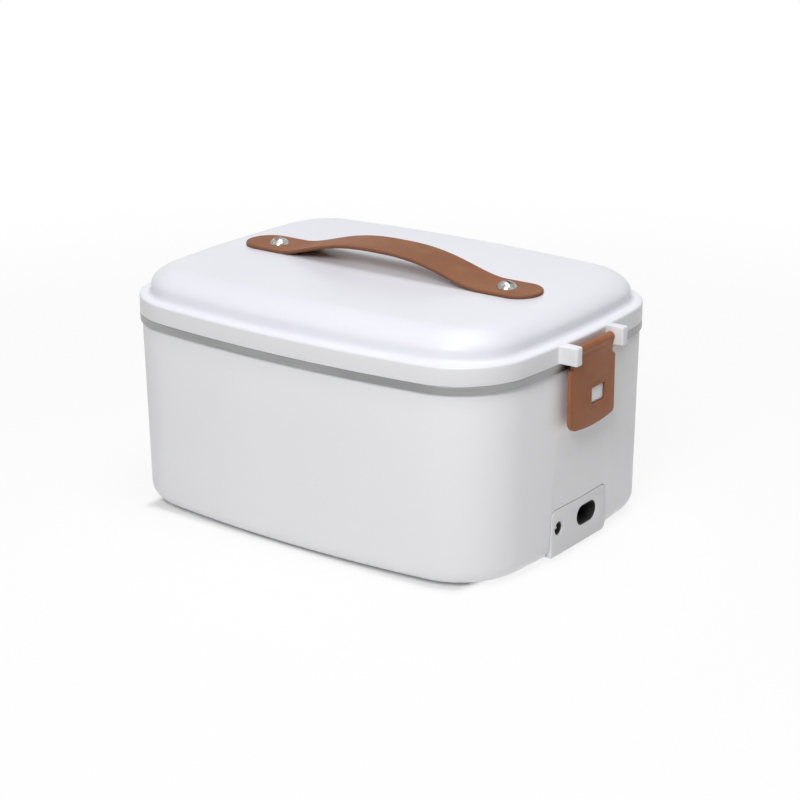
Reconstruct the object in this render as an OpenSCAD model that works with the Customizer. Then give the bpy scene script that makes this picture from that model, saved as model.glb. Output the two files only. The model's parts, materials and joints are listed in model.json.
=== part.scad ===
// Electric lunch box: a heated base, a lift-out steel pot, and a lift-off lid
// with a strap handle and a latch at each end. X runs along the length, Y across
// and Z up, and the origin is on the table under the middle. The end with the
// sockets is at +X. Sizes are in millimetres.

/* [Plan outline] */
// Length over the lid's lip and the steel band
body_length = 230; // [210:1:250]
// Width over the lid's lip and the steel band
body_width = 174.7; // [162:0.1:190]
// Radius of the four corners
corner_radius = 39; // [35:0.5:42]
// How far the long sides bow out
long_bow = 4.6; // [3:0.1:6]
// How far the short ends bow out
end_bow = 2.5; // [1.5:0.1:4]

/* [Body shell] */
// Height of the body below the steel band
body_height = 94.9; // [88:0.1:110]
// Wall of the plastic mouldings
wall = 2.2; // [1.8:0.1:2.6]
// Radius where the wall turns under
base_round = 9; // [7:0.5:11]
// How far the wall leans in from rim to base
wall_lean = 1.4; // [0.6:0.1:2.4]
// Plan inset of the opening that the base plate closes
base_opening_inset = 16; // [14.5:0.5:18]
// Width of the step that the base plate rests against
base_step = 3; // [2:0.5:4]
// Width of the ledge that carries the well
well_ledge = 3; // [2:0.5:3.5]

/* [Well and heater bay] */
// Height of the bay under the well's floor
bay_height = 24.8; // [24.2:0.1:30]
// Radius where the well's wall meets its floor
well_round = 12; // [9:0.5:13]
// How far the heating plate stands above the well's floor
plate_rise = 1.3; // [1:0.1:3]
// Length of the heating plate
plate_length = 150; // [130:1:164]
// Width of the heating plate
plate_width = 104; // [96:1:110]
// Corner radius of the heating plate
plate_corner = 24; // [16:1:28]
// Width of the heating plate's overlap on the well's floor
plate_overlap = 4; // [3:0.5:6]
// Length of each heater block
heater_length = 56; // [44:1:60]
// Width of each heater block
heater_width = 26; // [20:1:30]
// Thickness of each heater block
heater_thick = 6; // [4:0.5:7]
// Length of the insulating mat
mat_length = 122; // [110:1:130]
// Width of the insulating mat
mat_width = 78; // [70:1:84]
// Thickness of the insulating mat
mat_thick = 3; // [2:0.5:4]

/* [Underside] */
// Height of the rubber feet below the shell
foot_height = 1.2; // [0.8:0.1:2]
// Diameter of the rubber feet
foot_diameter = 14; // [10:0.5:16]
// Thickness of the base plate
base_thick = 2; // [1.6:0.1:2.4]
// Shank diameter of the base screws
screw_diameter = 2.9; // [2.5:0.1:3.4]

/* [Pot] */
// Steel thickness
pot_wall = 0.7; // [0.5:0.05:0.9]
// Height of the steel band that shows
band_height = 3.9; // [3:0.1:5]
// Plan inset of the pot's mouth
mouth_inset = 11.5; // [10.8:0.1:12.5]
// How far the pot narrows from mouth to floor
pot_draft = 2.2; // [1:0.1:3]
// Radius between the pot's wall and floor
pot_round = 14; // [12:0.5:15]

/* [Lid] */
// Height of the lid's lip
lip_height = 9.1; // [8.2:0.1:11]
// Rise of the dome above the lid's flat border
dome_height = 13.6; // [11:0.1:16]
// Plan inset of the dome's foot
dome_foot = 6; // [5.4:0.1:7]
// Plan inset where the dome's shoulder becomes flat
dome_inset = 21.5; // [19:0.5:25]
// Fullness of the dome's shoulder
dome_power = 1.75; // [1.5:0.05:2.2]

/* [Strap handle] */
// Length of the strap from tip to tip
strap_length = 177; // [160:1:184]
// Width of the strap
strap_width = 22; // [18:0.5:25]
// Thickness of the strap
strap_thick = 1.8; // [1.4:0.1:2.6]
// Rise of the strap's arch
strap_rise = 9.9; // [7:0.1:14]
// Distance from the strap's tip to the middle of its stud
stud_inset = 18.5; // [15:0.5:21]
// Diameter of the stud heads
stud_diameter = 10; // [8:0.5:12]
// Height of the domed stud heads
stud_dome = 2.8; // [2:0.1:3.6]
// Diameter of the stud shanks
stud_shank = 4; // [3:0.1:5]

/* [Latches] */
// Width of a latch between the ears
latch_width = 34.4; // [28:0.2:38]
// Width of a latch below the ears
plate_span = 39.4; // [38:0.2:44]
// Thickness of a latch
latch_thick = 1.9; // [1.6:0.1:2.2]
// Length of a latch below its pin
latch_drop = 39.6; // [38:0.1:42]
// How far a latch's lower edge bows down
latch_bow = 2; // [1:0.1:3]
// Radius of the lower corner away from the window
wide_corner = 5; // [3:0.5:7]
// Radius of the lower corner beside the window
tight_corner = 2; // [1.5:0.5:4]
// Gap between the lip and the latch's back
latch_standoff = 2.1; // [1.9:0.1:2.6]
// Width of the window
window_width = 12.2; // [10:0.1:13]
// Height of the window
window_height = 8.6; // [8:0.1:9.4]
// Height of the window's middle below the pin
window_drop = 25.2; // [24:0.1:26]
// Y of the window's middle
window_y = 5.4; // [3:0.1:6]
// Diameter of the hinge pins
pin_diameter = 2; // [1.6:0.1:2.4]
// Width of an ear along Y
ear_width = 5.2; // [4.6:0.1:7]
// How far the ears stand out from the lip
ear_reach = 9; // [8:0.1:10]

/* [Sockets] */
// Width of the socket panel
panel_width = 48.5; // [48:0.5:54]
// Height of the socket panel
panel_height = 23.4; // [22.8:0.1:25]
// Height of the panel's bottom edge above the shell's underside
panel_lift = 1.9; // [1.6:0.1:2.4]
// Y of the panel's middle
panel_middle = 0.5; // [-0.5:0.1:1]
// Width of the mains inlet's collar
inlet_width = 17.4; // [16.4:0.1:18]
// Height of the mains inlet's collar
inlet_height = 10.3; // [9.6:0.1:10.8]
// Y of the mains inlet's middle
inlet_y = 7.4; // [6.6:0.1:7.6]
// Distance between the two mains pins
pin_spacing = 8.6; // [8:0.1:9]
// Diameter of the low-voltage jack's opening
jack_opening = 7; // [6.8:0.1:7.6]
// Y of the low-voltage jack
jack_y = -17.4; // [-17.8:0.1:-15]
// Height of both sockets above the shell's underside
socket_lift = 15.4; // [14.8:0.1:15.8]

/* [Clearances] */
// Gap under the pot and under the lid where they seat
seat_gap = 0.1; // [0.05:0.05:0.3]
// Gap between the pot's skirt and the shell's rim
rim_gap = 0.3; // [0.3:0.05:0.5]
// Gap between the pot's wall and the well
pot_gap = 1; // [0.8:0.1:1.2]
// Gap between fixed plastic pieces
fit_gap = 0.25; // [0.15:0.05:0.35]
// Gap round a moving latch
latch_gap = 0.3; // [0.2:0.05:0.5]
// Radial gap round pins and screws
pin_gap = 0.05; // [0.02:0.01:0.1]

/* [Hidden] */
$fn = 96;
// Overlap where the forms of one solid join
join = 0.2;
shell_white = [0.93, 0.93, 0.94];
panel_grey = [0.80, 0.80, 0.81];
leather_brown = [0.59, 0.42, 0.33];
latch_brown = [0.55, 0.37, 0.28];

// Plan outline: each side is an arc tangent to the corner arcs
half_length = body_length / 2;
half_width = body_width / 2;
core_length = half_length - corner_radius;
core_width = half_width - corner_radius;
long_radius = (core_length * core_length + long_bow * long_bow) / (2 * long_bow);
end_radius = (core_width * core_width + end_bow * end_bow) / (2 * end_bow);
long_centre = core_width - long_radius;
end_centre = core_length - end_radius;
centre_span = norm([end_centre, long_centre]);
centre_foot = (long_radius * long_radius - end_radius * end_radius + centre_span * centre_span)
    / (2 * centre_span);
centre_rise = sqrt(long_radius * long_radius - centre_foot * centre_foot);
corner_x = (end_centre * centre_foot - long_centre * centre_rise) / centre_span;
corner_y = long_centre + (-long_centre * centre_foot - end_centre * centre_rise) / centre_span;
long_half_angle = asin(corner_x / long_radius);
end_half_angle = asin(corner_y / end_radius);

// Heights
shell_z = foot_height;
band_z = shell_z + body_height;
flange_z = band_z + band_height;
rim_z = flange_z - pot_wall - rim_gap;
lip_z = flange_z + seat_gap;
border_z = flange_z + lip_height;
top_z = border_z + dome_height;
base_top_z = shell_z + base_thick;
well_under_z = shell_z + bay_height;
well_floor_z = well_under_z + wall;
plate_top_z = well_floor_z + plate_rise;
plate_lower = 3;
plate_under_z = well_floor_z - plate_lower;
pot_floor_z = plate_top_z + seat_gap + pot_wall;

// Plan insets
rim_inset = pot_wall + rim_gap;
well_mouth = mouth_inset - pot_wall - pot_gap;
base_curve_inset = rim_inset + wall_lean + base_round;

// Latch and ear places, for the +X end
ear_inner_y = latch_width / 2 + latch_gap;
ear_outer_y = ear_inner_y + ear_width;
latch_back_x = half_length + latch_standoff;
latch_front_x = latch_back_x + latch_thick;
barrel_radius = 2.3;
hinge_x = half_length + barrel_radius + latch_gap;
hinge_z = flange_z + 4.4;
window_z = hinge_z - window_drop;
nub_gap_side = 0.7;
nub_gap_below = 0.8;
nub_gap_above = 0.5;
nub_recess = 1;
ear_round = 0.9;
ear_tip_x = half_length + ear_reach;
ear_low_z = lip_z + 0.1;
// A latch's shoulders stay clear of the ears' rounded tips through its whole turn
shoulder_drop = norm([ear_tip_x - ear_round - hinge_x,
    max(border_z - ear_round - hinge_z, hinge_z - ear_low_z - ear_round)]) + ear_round + latch_gap;

// Socket places, for the +X end
panel_gap = 0.5;
panel_face_x = half_length - rim_inset - wall_lean + 0.1;
panel_plate = 3.2;
panel_back_x = panel_face_x - panel_plate;
panel_wall = 1.6;
panel_depth = 8.4;
panel_corner = 4;
panel_low_z = shell_z + panel_lift;
socket_z = shell_z + socket_lift;
inlet_depth = 13.5;
inlet_floor = 3;
inlet_back_x = panel_back_x - inlet_depth - inlet_floor;
inlet_tab_x = inlet_back_x - 7.5;
jack_back_x = panel_back_x - 13;
jack_tab_x = jack_back_x - 7;

// A point of a circle
function on_circle(c, r, a) = [c[0] + r * cos(a), c[1] + r * sin(a)];
// Points along an arc
function arc(c, r, from, to, steps) =
    [for (i = [0:steps]) on_circle(c, r, from + (to - from) * i / steps)];
function heading(p, q) = (q - p) / norm(q - p);
function right_of(v) = [v[1], -v[0]];
// A path moved sideways by a wall's thickness
function beside(path, t) = let (
    n = len(path),
    dirs = [for (i = [0:n - 2]) heading(path[i], path[i + 1])]
) [for (i = [0:n - 1])
    let (u = dirs[max(i - 1, 0)], v = dirs[min(i, n - 2)])
    path[i] + t * (right_of(u) + right_of(v)) / (1 + u * v)];
function reversed(list) = [for (i = [len(list) - 1:-1:0]) list[i]];
// Profile of a wall of even thickness under a path
function walled(path, t) = concat(reversed(beside(path, t)), path);

// Plan outline drawn in by an inset, as points: an end, a corner, a long side and a corner, twice
end_steps = 4;
corner_steps = 8;
long_steps = 6;
function arc_start(c, r, from, to, steps) =
    [for (i = [0:steps - 1]) on_circle(c, r, from + (to - from) * i / steps)];
function half_outline(r) = concat(
    arc_start([end_centre, 0], end_radius + r, -end_half_angle, end_half_angle, end_steps),
    arc_start([corner_x, corner_y], r, end_half_angle, 90 - long_half_angle, corner_steps),
    arc_start([0, long_centre], long_radius + r, 90 - long_half_angle, 90 + long_half_angle, long_steps),
    arc_start([-corner_x, corner_y], r, 90 + long_half_angle, 180 - end_half_angle, corner_steps)
);
function outline(inset) = let (half = half_outline(corner_radius - inset))
    concat(half, [for (q = half) -q]);

// Flat plate with the plan outline
module slab(inset, low, high) {
    translate([0, 0, low]) linear_extrude(high - low) polygon(outline(inset));
}

// Solid through the plan outline at each [inset, height] of a profile. A ring
// joins the profile's ends, and a plain loft caps its first and last outline.
module loft(profile, ring = false) {
    n = len(outline(0));
    m = len(profile);
    points = [for (p = profile) for (q = outline(p[0])) [q[0], q[1], p[1]]];
    walls = [for (j = [0:ring ? m - 1 : m - 2], i = [0:n - 1])
        let (a = j * n, b = ((j + 1) % m) * n, k = (i + 1) % n)
        each [[a + i, b + i, b + k], [a + i, b + k, a + k]]];
    caps = ring ? [] : [[for (i = [0:n - 1]) i], [for (i = [n - 1:-1:0]) (m - 1) * n + i]];
    polyhedron(points = points, faces = concat(walls, caps), convexity = 10);
}

// Rectangle with round corners, made of squares and circles
module round_rect(size, r) {
    square([size[0] - 2 * r, size[1]], center = true);
    square([size[0], size[1] - 2 * r], center = true);
    for (sx = [-1, 1], sy = [-1, 1])
        translate([sx * (size[0] / 2 - r), sy * (size[1] / 2 - r)]) circle(r = r, $fn = 48);
}
module round_plate(size, r, low, high) {
    translate([0, 0, low]) linear_extrude(high - low) round_rect(size, r);
}
// Round-ended slot along its first size
module obround(size) {
    r = size[1] / 2;
    square([size[0] - 2 * r, size[1]], center = true);
    for (s = [-1, 1]) translate([s * (size[0] / 2 - r), 0]) circle(r = r, $fn = 64);
}
// Stands a drawing of Y and Z up and extrudes it along +X
module along_x(from, to) {
    translate([from, 0, 0]) rotate([90, 0, 90]) linear_extrude(to - from) children();
}
// Stands a drawing of X and Z up and extrudes it along Y, centred
module across_y(width) {
    rotate([90, 0, 0]) linear_extrude(width, center = true) children();
}
module disc(r, low, high) {
    translate([0, 0, low]) cylinder(r = r, h = high - low, $fn = 48);
}
// Copies at the four corners of a rectangle
module at_corners(x, y) {
    for (sx = [-1, 1], sy = [-1, 1]) translate([sx * x, sy * y, 0]) children();
}

// Body shell
base_round_steps = 5;
function wall_inset(z) = rim_inset + wall_lean * (rim_z - z) / (rim_z - shell_z);
base_arc_inset = wall_inset(shell_z + base_round) + base_round;
base_arc = arc([base_arc_inset, shell_z + base_round], base_round, 270, 180, base_round_steps);
ledge_z = rim_z - wall;
ledge_root = rim_inset + wall;
nub_width = window_width - 2 * nub_gap_side;
nub_low_z = window_z - window_height / 2 + nub_gap_below;
nub_high_z = window_z + window_height / 2 - nub_gap_above;
step_inset = base_opening_inset + base_step;
step_top_z = base_top_z + 2;
module shell_walls() {
    outside = concat([[base_opening_inset, shell_z]], base_arc, [[rim_inset, rim_z]]);
    inside = reversed(beside(outside, wall));
    loft(concat(
        outside,
        [[ledge_root, rim_z], [ledge_root, ledge_z], [ledge_root + well_ledge, ledge_z],
            [ledge_root + well_ledge, ledge_z - 1.5], [wall_inset(ledge_z - 6) + wall, ledge_z - 6]],
        [for (i = [1:len(inside) - 2]) inside[i]],
        [[base_opening_inset - 2, shell_z + wall], [base_opening_inset - 0.6, step_top_z],
            [step_inset, step_top_z], [step_inset, base_top_z], [base_opening_inset, base_top_z]]
    ), ring = true);
}
module catch_nub() {
    front = latch_front_x - nub_recess;
    root = half_length - wall_inset(nub_low_z) - wall / 2;
    translate([0, window_y, 0]) across_y(nub_width) polygon([
        [root, nub_low_z - 3], [front - 4.5, nub_low_z], [front - 0.5, nub_low_z],
        [front, nub_low_z + 0.5], [front, nub_high_z - 0.8], [front - 0.8, nub_high_z],
        [root, nub_high_z]
    ]);
}
module panel_outline(gap) {
    w = panel_width + 2 * gap;
    h = panel_height + 2 * gap;
    translate([panel_middle, panel_low_z + panel_height / 2]) {
        round_rect([w, h], panel_corner + gap);
        translate([-w / 2, -h / 2]) square([w / 2, h / 2]);
    }
}
module outer_shell() {
    color(shell_white) difference() {
        union() {
            shell_walls();
            for (turn = [0, 180]) rotate([0, 0, turn]) catch_nub();
        }
        along_x(half_length - base_curve_inset - 4, half_length + 1) panel_outline(panel_gap);
    }
}

// Well
tub_start = [ledge_root + fit_gap, rim_z];
tub_bowl = arc([well_mouth + pot_draft + well_round, well_floor_z + well_round], well_round, 180, 270, 4);
tub_path = concat([tub_start], arc([well_mouth - 1.5, rim_z - 1.5], 1.5, 90, 0, 2), tub_bowl);
tub_core = concat([tub_start, [well_mouth, rim_z]], tub_bowl);
boss_radius = 4.5;
boss_low_z = base_top_z + 2.9;
base_screw_x = 52;
base_screw_y = 54;
module inner_tub() {
    color(shell_white) difference() {
        union() {
            loft(concat(reversed(beside(tub_core, wall)), tub_path));
            at_corners(base_screw_x, base_screw_y) disc(boss_radius, boss_low_z, well_under_z + join);
        }
        round_plate([plate_length - 2 * plate_overlap + 2 * fit_gap,
            plate_width - 2 * plate_overlap + 2 * fit_gap],
            plate_corner - plate_overlap + fit_gap, well_under_z - 1, well_floor_z + 1);
        at_corners(base_screw_x, base_screw_y)
            disc(screw_diameter / 2 + pin_gap, boss_low_z - 1, well_under_z - 1);
    }
}

// Base plate, feet and screws
screw_head_radius = 3.2;
screw_head_height = 2;
screw_bite = 12;
cup_radius = 5.6;
cup_depth = 3;
foot_x = 80;
foot_y = 50;
foot_recess = 1.2;
foot_pad_high = shell_z + foot_recess + 1.6;
vent_count = 7;
vent_pitch = 8;
module base_plate() {
    color(panel_grey) difference() {
        union() {
            slab(base_opening_inset + fit_gap, shell_z, base_top_z);
            at_corners(base_screw_x, base_screw_y) disc(cup_radius, shell_z, boss_low_z);
            at_corners(foot_x, foot_y) disc(foot_diameter / 2 + 1.6, shell_z, foot_pad_high);
        }
        at_corners(base_screw_x, base_screw_y) {
            disc(screw_head_radius + 0.4, shell_z - 1, shell_z + cup_depth);
            disc(screw_diameter / 2 + 0.2, shell_z, boss_low_z + 1);
        }
        at_corners(foot_x, foot_y) disc(foot_diameter / 2 + pin_gap, shell_z - 1, shell_z + foot_recess);
        for (s = [-1, 1], i = [0:vent_count - 1])
            translate([(i - (vent_count - 1) / 2) * vent_pitch, s * 56, shell_z - 1])
                linear_extrude(base_thick + 2) rotate(90) obround([16, 3]);
    }
}
module rubber_feet() {
    r = foot_diameter / 2;
    top = shell_z + foot_recess;
    color([0.2, 0.2, 0.2]) at_corners(foot_x, foot_y) rotate_extrude()
        polygon([[0, 0], [r - 0.8, 0], [r, 0.8], [r, top], [0, top]]);
}
// Pan-head screw pointing up, with a cross recess
module screw_up(head_low, head_r, head_h, shank_r, tip) {
    difference() {
        rotate_extrude($fn = 48) polygon([
            [0, head_low], [head_r - 0.6, head_low], [head_r, head_low + 0.6],
            [head_r, head_low + head_h], [shank_r, head_low + head_h],
            [shank_r, tip - shank_r], [0.3, tip], [0, tip]
        ]);
        for (a = [0, 90]) rotate(a)
            translate([-head_r * 0.6, -0.3, head_low - 1]) cube([head_r * 1.2, 0.6, 1.9]);
    }
}
module base_screws() {
    color([0.75, 0.75, 0.77]) at_corners(base_screw_x, base_screw_y)
        screw_up(shell_z + cup_depth - screw_head_height, screw_head_radius, screw_head_height,
            screw_diameter / 2, boss_low_z + screw_bite);
}

// Heating plate and what hangs under it
heater_x = 34;
clamp_thick = 1.2;
clamp_z = plate_under_z - heater_thick;
clamp_screw_y = heater_width / 2 + 5;
plate_boss_radius = 3.6;
small_shank = 1.4;
small_head = 2.8;
stat_y = -28;
stat_radius = 8;
stat_cap = 4;
stat_screw_x = 12.5;
stat_z = plate_under_z - stat_cap;
stat_flange = 0.8;
stat_tab_low_z = stat_z - 11.2;
fuse_y = 27;
fuse_radius = 2;
fuse_length = 12;
fuse_clip_y = fuse_y + 7;
module heater_screw_places() {
    for (sx = [-1, 1], sy = [-1, 1]) translate([sx * heater_x, sy * clamp_screw_y, 0]) children();
}
module stat_screw_places() {
    for (s = [-1, 1]) translate([s * stat_screw_x, stat_y, 0]) children();
}
module heating_plate() {
    hole = small_shank + pin_gap;
    color([0.78, 0.79, 0.80]) difference() {
        union() {
            round_plate([plate_length, plate_width], plate_corner, well_floor_z, plate_top_z);
            round_plate([plate_length - 2 * plate_overlap, plate_width - 2 * plate_overlap],
                plate_corner - plate_overlap, plate_under_z, well_floor_z + join);
            heater_screw_places() disc(plate_boss_radius, clamp_z, plate_under_z + join);
            stat_screw_places() disc(plate_boss_radius, stat_z, plate_under_z + join);
        }
        heater_screw_places() disc(hole, clamp_z - 1, plate_under_z + 1);
        stat_screw_places() disc(hole, stat_z - 1, plate_under_z + 1);
        translate([0, fuse_clip_y, 0]) disc(hole, plate_under_z - 1, plate_under_z + 2.6);
    }
}
module ptc_heaters() {
    color([0.62, 0.60, 0.56]) for (s = [-1, 1]) translate([s * heater_x, 0, 0]) {
        translate([-heater_length / 2, -heater_width / 2, clamp_z])
            cube([heater_length, heater_width, heater_thick]);
        for (t = [-1, 1]) translate([s * (heater_length / 2 + 1.5), t * 6, clamp_z + heater_thick / 2])
            cube([5, 4, 0.6], center = true);
    }
}
module heater_clamps() {
    color([0.70, 0.71, 0.73]) for (s = [-1, 1]) translate([s * heater_x, 0, 0]) difference() {
        round_plate([12, 2 * clamp_screw_y + 10], 4, clamp_z - clamp_thick, clamp_z);
        for (t = [-1, 1]) translate([0, t * clamp_screw_y, 0])
            disc(small_shank + 0.15, clamp_z - clamp_thick - 1, clamp_z + 1);
    }
}
module heater_screws() {
    color([0.75, 0.75, 0.77]) {
        heater_screw_places()
            screw_up(clamp_z - clamp_thick - 1.8, small_head, 1.8, small_shank, plate_under_z);
        stat_screw_places()
            screw_up(stat_z - stat_flange - 1.8, small_head, 1.8, small_shank, plate_under_z);
        translate([0, fuse_clip_y, 0])
            screw_up(plate_under_z - 1 - 1.8, small_head, 1.8, small_shank, plate_under_z + 2.2);
    }
}
module thermostat() {
    color([0.25, 0.22, 0.20]) translate([0, stat_y, 0]) difference() {
        union() {
            disc(stat_radius, stat_z, plate_under_z);
            disc(stat_radius - 1, stat_z - 7, stat_z + join);
            round_plate([2 * stat_screw_x + 7, 7], 3, stat_z - stat_flange, stat_z);
            for (s = [-1, 1]) translate([s * 4 - 0.4, -2, stat_tab_low_z])
                cube([0.8, 4, stat_z - 7 + join - stat_tab_low_z]);
        }
        for (s = [-1, 1]) translate([s * stat_screw_x, 0, 0])
            disc(small_shank + 0.15, stat_z - 2, stat_z + 1);
    }
}
fuse_z = plate_under_z - fuse_radius - 0.1;
module thermal_fuse() {
    color([0.80, 0.77, 0.70]) translate([0, fuse_y, fuse_z]) rotate([0, 90, 0]) {
        cylinder(r = fuse_radius, h = fuse_length, center = true, $fn = 48);
        cylinder(r = 0.5, h = fuse_length + 10, center = true, $fn = 24);
    }
}
module fuse_clip() {
    inner = fuse_radius + 0.1;
    color([0.72, 0.73, 0.75]) difference() {
        along_x(-3, 3) difference() {
            union() {
                translate([fuse_y, fuse_z]) circle(r = inner + 1, $fn = 48);
                translate([fuse_y, plate_under_z - 1]) square([fuse_clip_y + 3.2 - fuse_y, 1]);
            }
            translate([fuse_y, fuse_z]) circle(r = inner, $fn = 48);
            translate([fuse_y - 4, fuse_z]) square([4, 8]);
            translate([fuse_y - 4, plate_under_z]) square([20, 4]);
        }
        translate([0, fuse_clip_y, 0]) disc(small_shank + 0.15, plate_under_z - 3, plate_under_z + 1);
    }
}
mat_corner = 10;
module insulation_pad() {
    color([0.88, 0.86, 0.80])
        round_plate([mat_length, mat_width], mat_corner, base_top_z, base_top_z + mat_thick);
}

// Wires: each is a round tube along a smooth route
wire_radius = 0.9;
wire_sides = 6;
wire_steps = 3;
function spline_point(a, b, c, d, t) =
    0.5 * (2 * b + (c - a) * t + (2 * a - 5 * b + 4 * c - d) * t * t
    + (3 * b - a - 3 * c + d) * t * t * t);
function smooth_route(p) = let (n = len(p)) concat(
    [for (i = [0:n - 2], k = [0:wire_steps - 1])
        spline_point(p[max(i - 1, 0)], p[i], p[i + 1], p[min(i + 2, n - 1)], k / wire_steps)],
    [p[n - 1]]
);
module wire(points) {
    route = smooth_route(points);
    n = len(route);
    rings = [for (i = [0:n - 1])
        let (
            t = heading(route[max(i - 1, 0)], route[min(i + 1, n - 1)]),
            side = heading([0, 0, 0], cross(t, [0.1, 0.2, 1])),
            up = cross(side, t)
        )
        for (k = [0:wire_sides - 1])
            let (a = 360 * k / wire_sides)
            route[i] + wire_radius * (cos(a) * side + sin(a) * up)];
    faces = concat(
        [[for (k = [0:wire_sides - 1]) k]],
        [for (i = [0:n - 2], k = [0:wire_sides - 1])
            let (a = i * wire_sides, b = a + wire_sides, l = (k + 1) % wire_sides)
            [a + k, b + k, b + l, a + l]],
        [[for (k = [wire_sides - 1:-1:0]) (n - 1) * wire_sides + k]]
    );
    polyhedron(points = rings, faces = faces, convexity = 6);
}
heater_tab_x = heater_x + heater_length / 2 + 4 + wire_radius;
heater_tab_z = clamp_z + heater_thick / 2;
stat_tab_z = stat_tab_low_z - wire_radius - 0.15;
run_z = base_top_z + mat_thick + 3;
module lead_wires() {
    color([0.72, 0.16, 0.14]) {
        wire([[inlet_tab_x - 0.2, inlet_y - pin_spacing / 2, socket_z],
            [inlet_tab_x - 6, inlet_y - 6.8, socket_z - 2.7], [heater_tab_x - 1, -14, run_z],
            [heater_x + 6, -30, run_z], [14, stat_y - 6, run_z], [5, stat_y - 2, run_z - 1],
            [4, stat_y, stat_tab_z]]);
        wire([[-4, stat_y, stat_tab_z], [-6, stat_y + 6, run_z - 0.4], [-12, 0, run_z + 1],
            [-18, 22, run_z + 2], [-15, fuse_y, fuse_z - 3], [-fuse_length / 2 - 5.2, fuse_y, fuse_z]]);
        wire([[fuse_length / 2 + 5.2, fuse_y, fuse_z], [16, fuse_y + 2, fuse_z - 2],
            [26, 34, run_z + 2], [50, 34, run_z + 3], [66, 20, heater_tab_z - 4],
            [heater_tab_x - 1, 10, heater_tab_z - 1], [heater_tab_x - 2, 8.9, heater_tab_z]]);
    }
    color([0.15, 0.25, 0.55]) {
        wire([[inlet_tab_x - 0.2, inlet_y + pin_spacing / 2, socket_z],
            [inlet_tab_x - 6, inlet_y + 4.2, socket_z - 2.2], [heater_tab_x + 7, 0, socket_z - 4.2],
            [heater_tab_x + 2, -4, heater_tab_z - 3], [heater_tab_x + 0.1, -6, heater_tab_z]]);
        wire([[jack_tab_x - 0.2, jack_y - 2, socket_z],
            [jack_tab_x - 10, jack_y - 9, socket_z - 5.2], [heater_tab_x - 7, -40, run_z],
            [0, -46, run_z], [-50, -38, run_z], [-heater_tab_x - 3, -20, run_z + 4],
            [-heater_tab_x - 2, -10, heater_tab_z - 2], [-heater_tab_x - 0.1, -6, heater_tab_z]]);
    }
    color([0.15, 0.15, 0.15])
        wire([[jack_tab_x - 0.2, jack_y + 2, socket_z],
            [jack_tab_x - 5, jack_y + 5, socket_z - 6.2], [jack_tab_x - 10, 0, run_z - 1],
            [jack_tab_x - 14, 20, run_z - 1], [50, 42, run_z], [0, 46, run_z], [-50, 38, run_z],
            [-heater_tab_x - 3, 20, run_z + 4],
            [-heater_tab_x - 2, 10, heater_tab_z - 2], [-heater_tab_x - 0.1, 6, heater_tab_z]]);
}

// Socket panel: an open-backed tray with two openings and snap hooks
inlet_ear = 12.8;
inlet_screw_radius = 1;
module collar_outline(gap) {
    translate([inlet_y, socket_z]) obround([inlet_width + gap, inlet_height + gap]);
}
module socket_panel() {
    hook = 1.4;
    color(panel_grey) difference() {
        union() {
            along_x(panel_face_x - panel_depth, panel_face_x) panel_outline(0);
            for (s = [-1, 1]) translate([0, panel_middle + s * (panel_width / 2), socket_z - 2])
                linear_extrude(7) polygon([
                    [panel_face_x - panel_depth, 0], [panel_face_x - panel_depth + 0.4, s * hook],
                    [panel_face_x - panel_depth + 1.2, s * hook], [panel_face_x - panel_depth + 2.4, 0],
                    [panel_face_x - panel_depth + 2.4, -s], [panel_face_x - panel_depth, -s]
                ]);
        }
        along_x(panel_face_x - panel_depth - 1, panel_back_x) panel_outline(-panel_wall);
        along_x(panel_back_x - 1, panel_face_x + 1) {
            collar_outline(collar_gap);
            translate([jack_y, socket_z]) circle(r = jack_opening / 2, $fn = 48);
        }
        for (s = [-1, 1]) translate([panel_back_x - 1, inlet_y + s * inlet_ear, socket_z])
            rotate([0, 90, 0]) cylinder(r = inlet_screw_radius + pin_gap, h = 1 + panel_plate - 0.9, $fn = 24);
    }
}

// Mains inlet
inlet_shell = 1.6;
inlet_flange = 2;
collar_wall = 0.6;
collar_gap = 0.2;
mains_pin_radius = 1.2;
module ac_inlet() {
    color([0.06, 0.06, 0.06]) difference() {
        union() {
            along_x(inlet_back_x, panel_back_x) translate([inlet_y, socket_z])
                obround([inlet_width + 2 * inlet_shell, inlet_height + 2 * inlet_shell]);
            along_x(panel_back_x - inlet_flange, panel_back_x) translate([inlet_y, socket_z])
                obround([2 * inlet_ear + 5, 6.4]);
            along_x(panel_back_x - join, panel_face_x - 0.4) collar_outline(0);
        }
        along_x(panel_back_x - inlet_depth, panel_face_x + 1) collar_outline(-2 * collar_wall);
        for (s = [-1, 1]) translate([inlet_back_x - 1, inlet_y + s * pin_spacing / 2, socket_z])
            rotate([0, 90, 0]) cylinder(r = mains_pin_radius + pin_gap, h = inlet_floor + 2, $fn = 32);
        for (s = [-1, 1]) translate([panel_back_x - inlet_flange - 1, inlet_y + s * inlet_ear, socket_z])
            rotate([0, 90, 0]) cylinder(r = inlet_screw_radius + 0.1, h = inlet_flange + 2, $fn = 24);
    }
}
module ac_pins() {
    color([0.80, 0.80, 0.82]) for (s = [-1, 1]) {
        translate([inlet_back_x - 1.2, inlet_y + s * pin_spacing / 2, socket_z]) rotate([0, 90, 0])
            rotate_extrude($fn = 32) polygon([
                [0, 0], [mains_pin_radius + 0.8, 0], [mains_pin_radius + 0.8, 1.2],
                [mains_pin_radius, 1.2], [mains_pin_radius, 13.4], [mains_pin_radius - 0.6, 14.2],
                [0, 14.2]
            ]);
        translate([inlet_tab_x + wire_radius, inlet_y + s * pin_spacing / 2 - 1, socket_z - 0.4])
            cube([inlet_back_x - 1.2 - inlet_tab_x - wire_radius + join, 2, 0.8]);
    }
}
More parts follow.
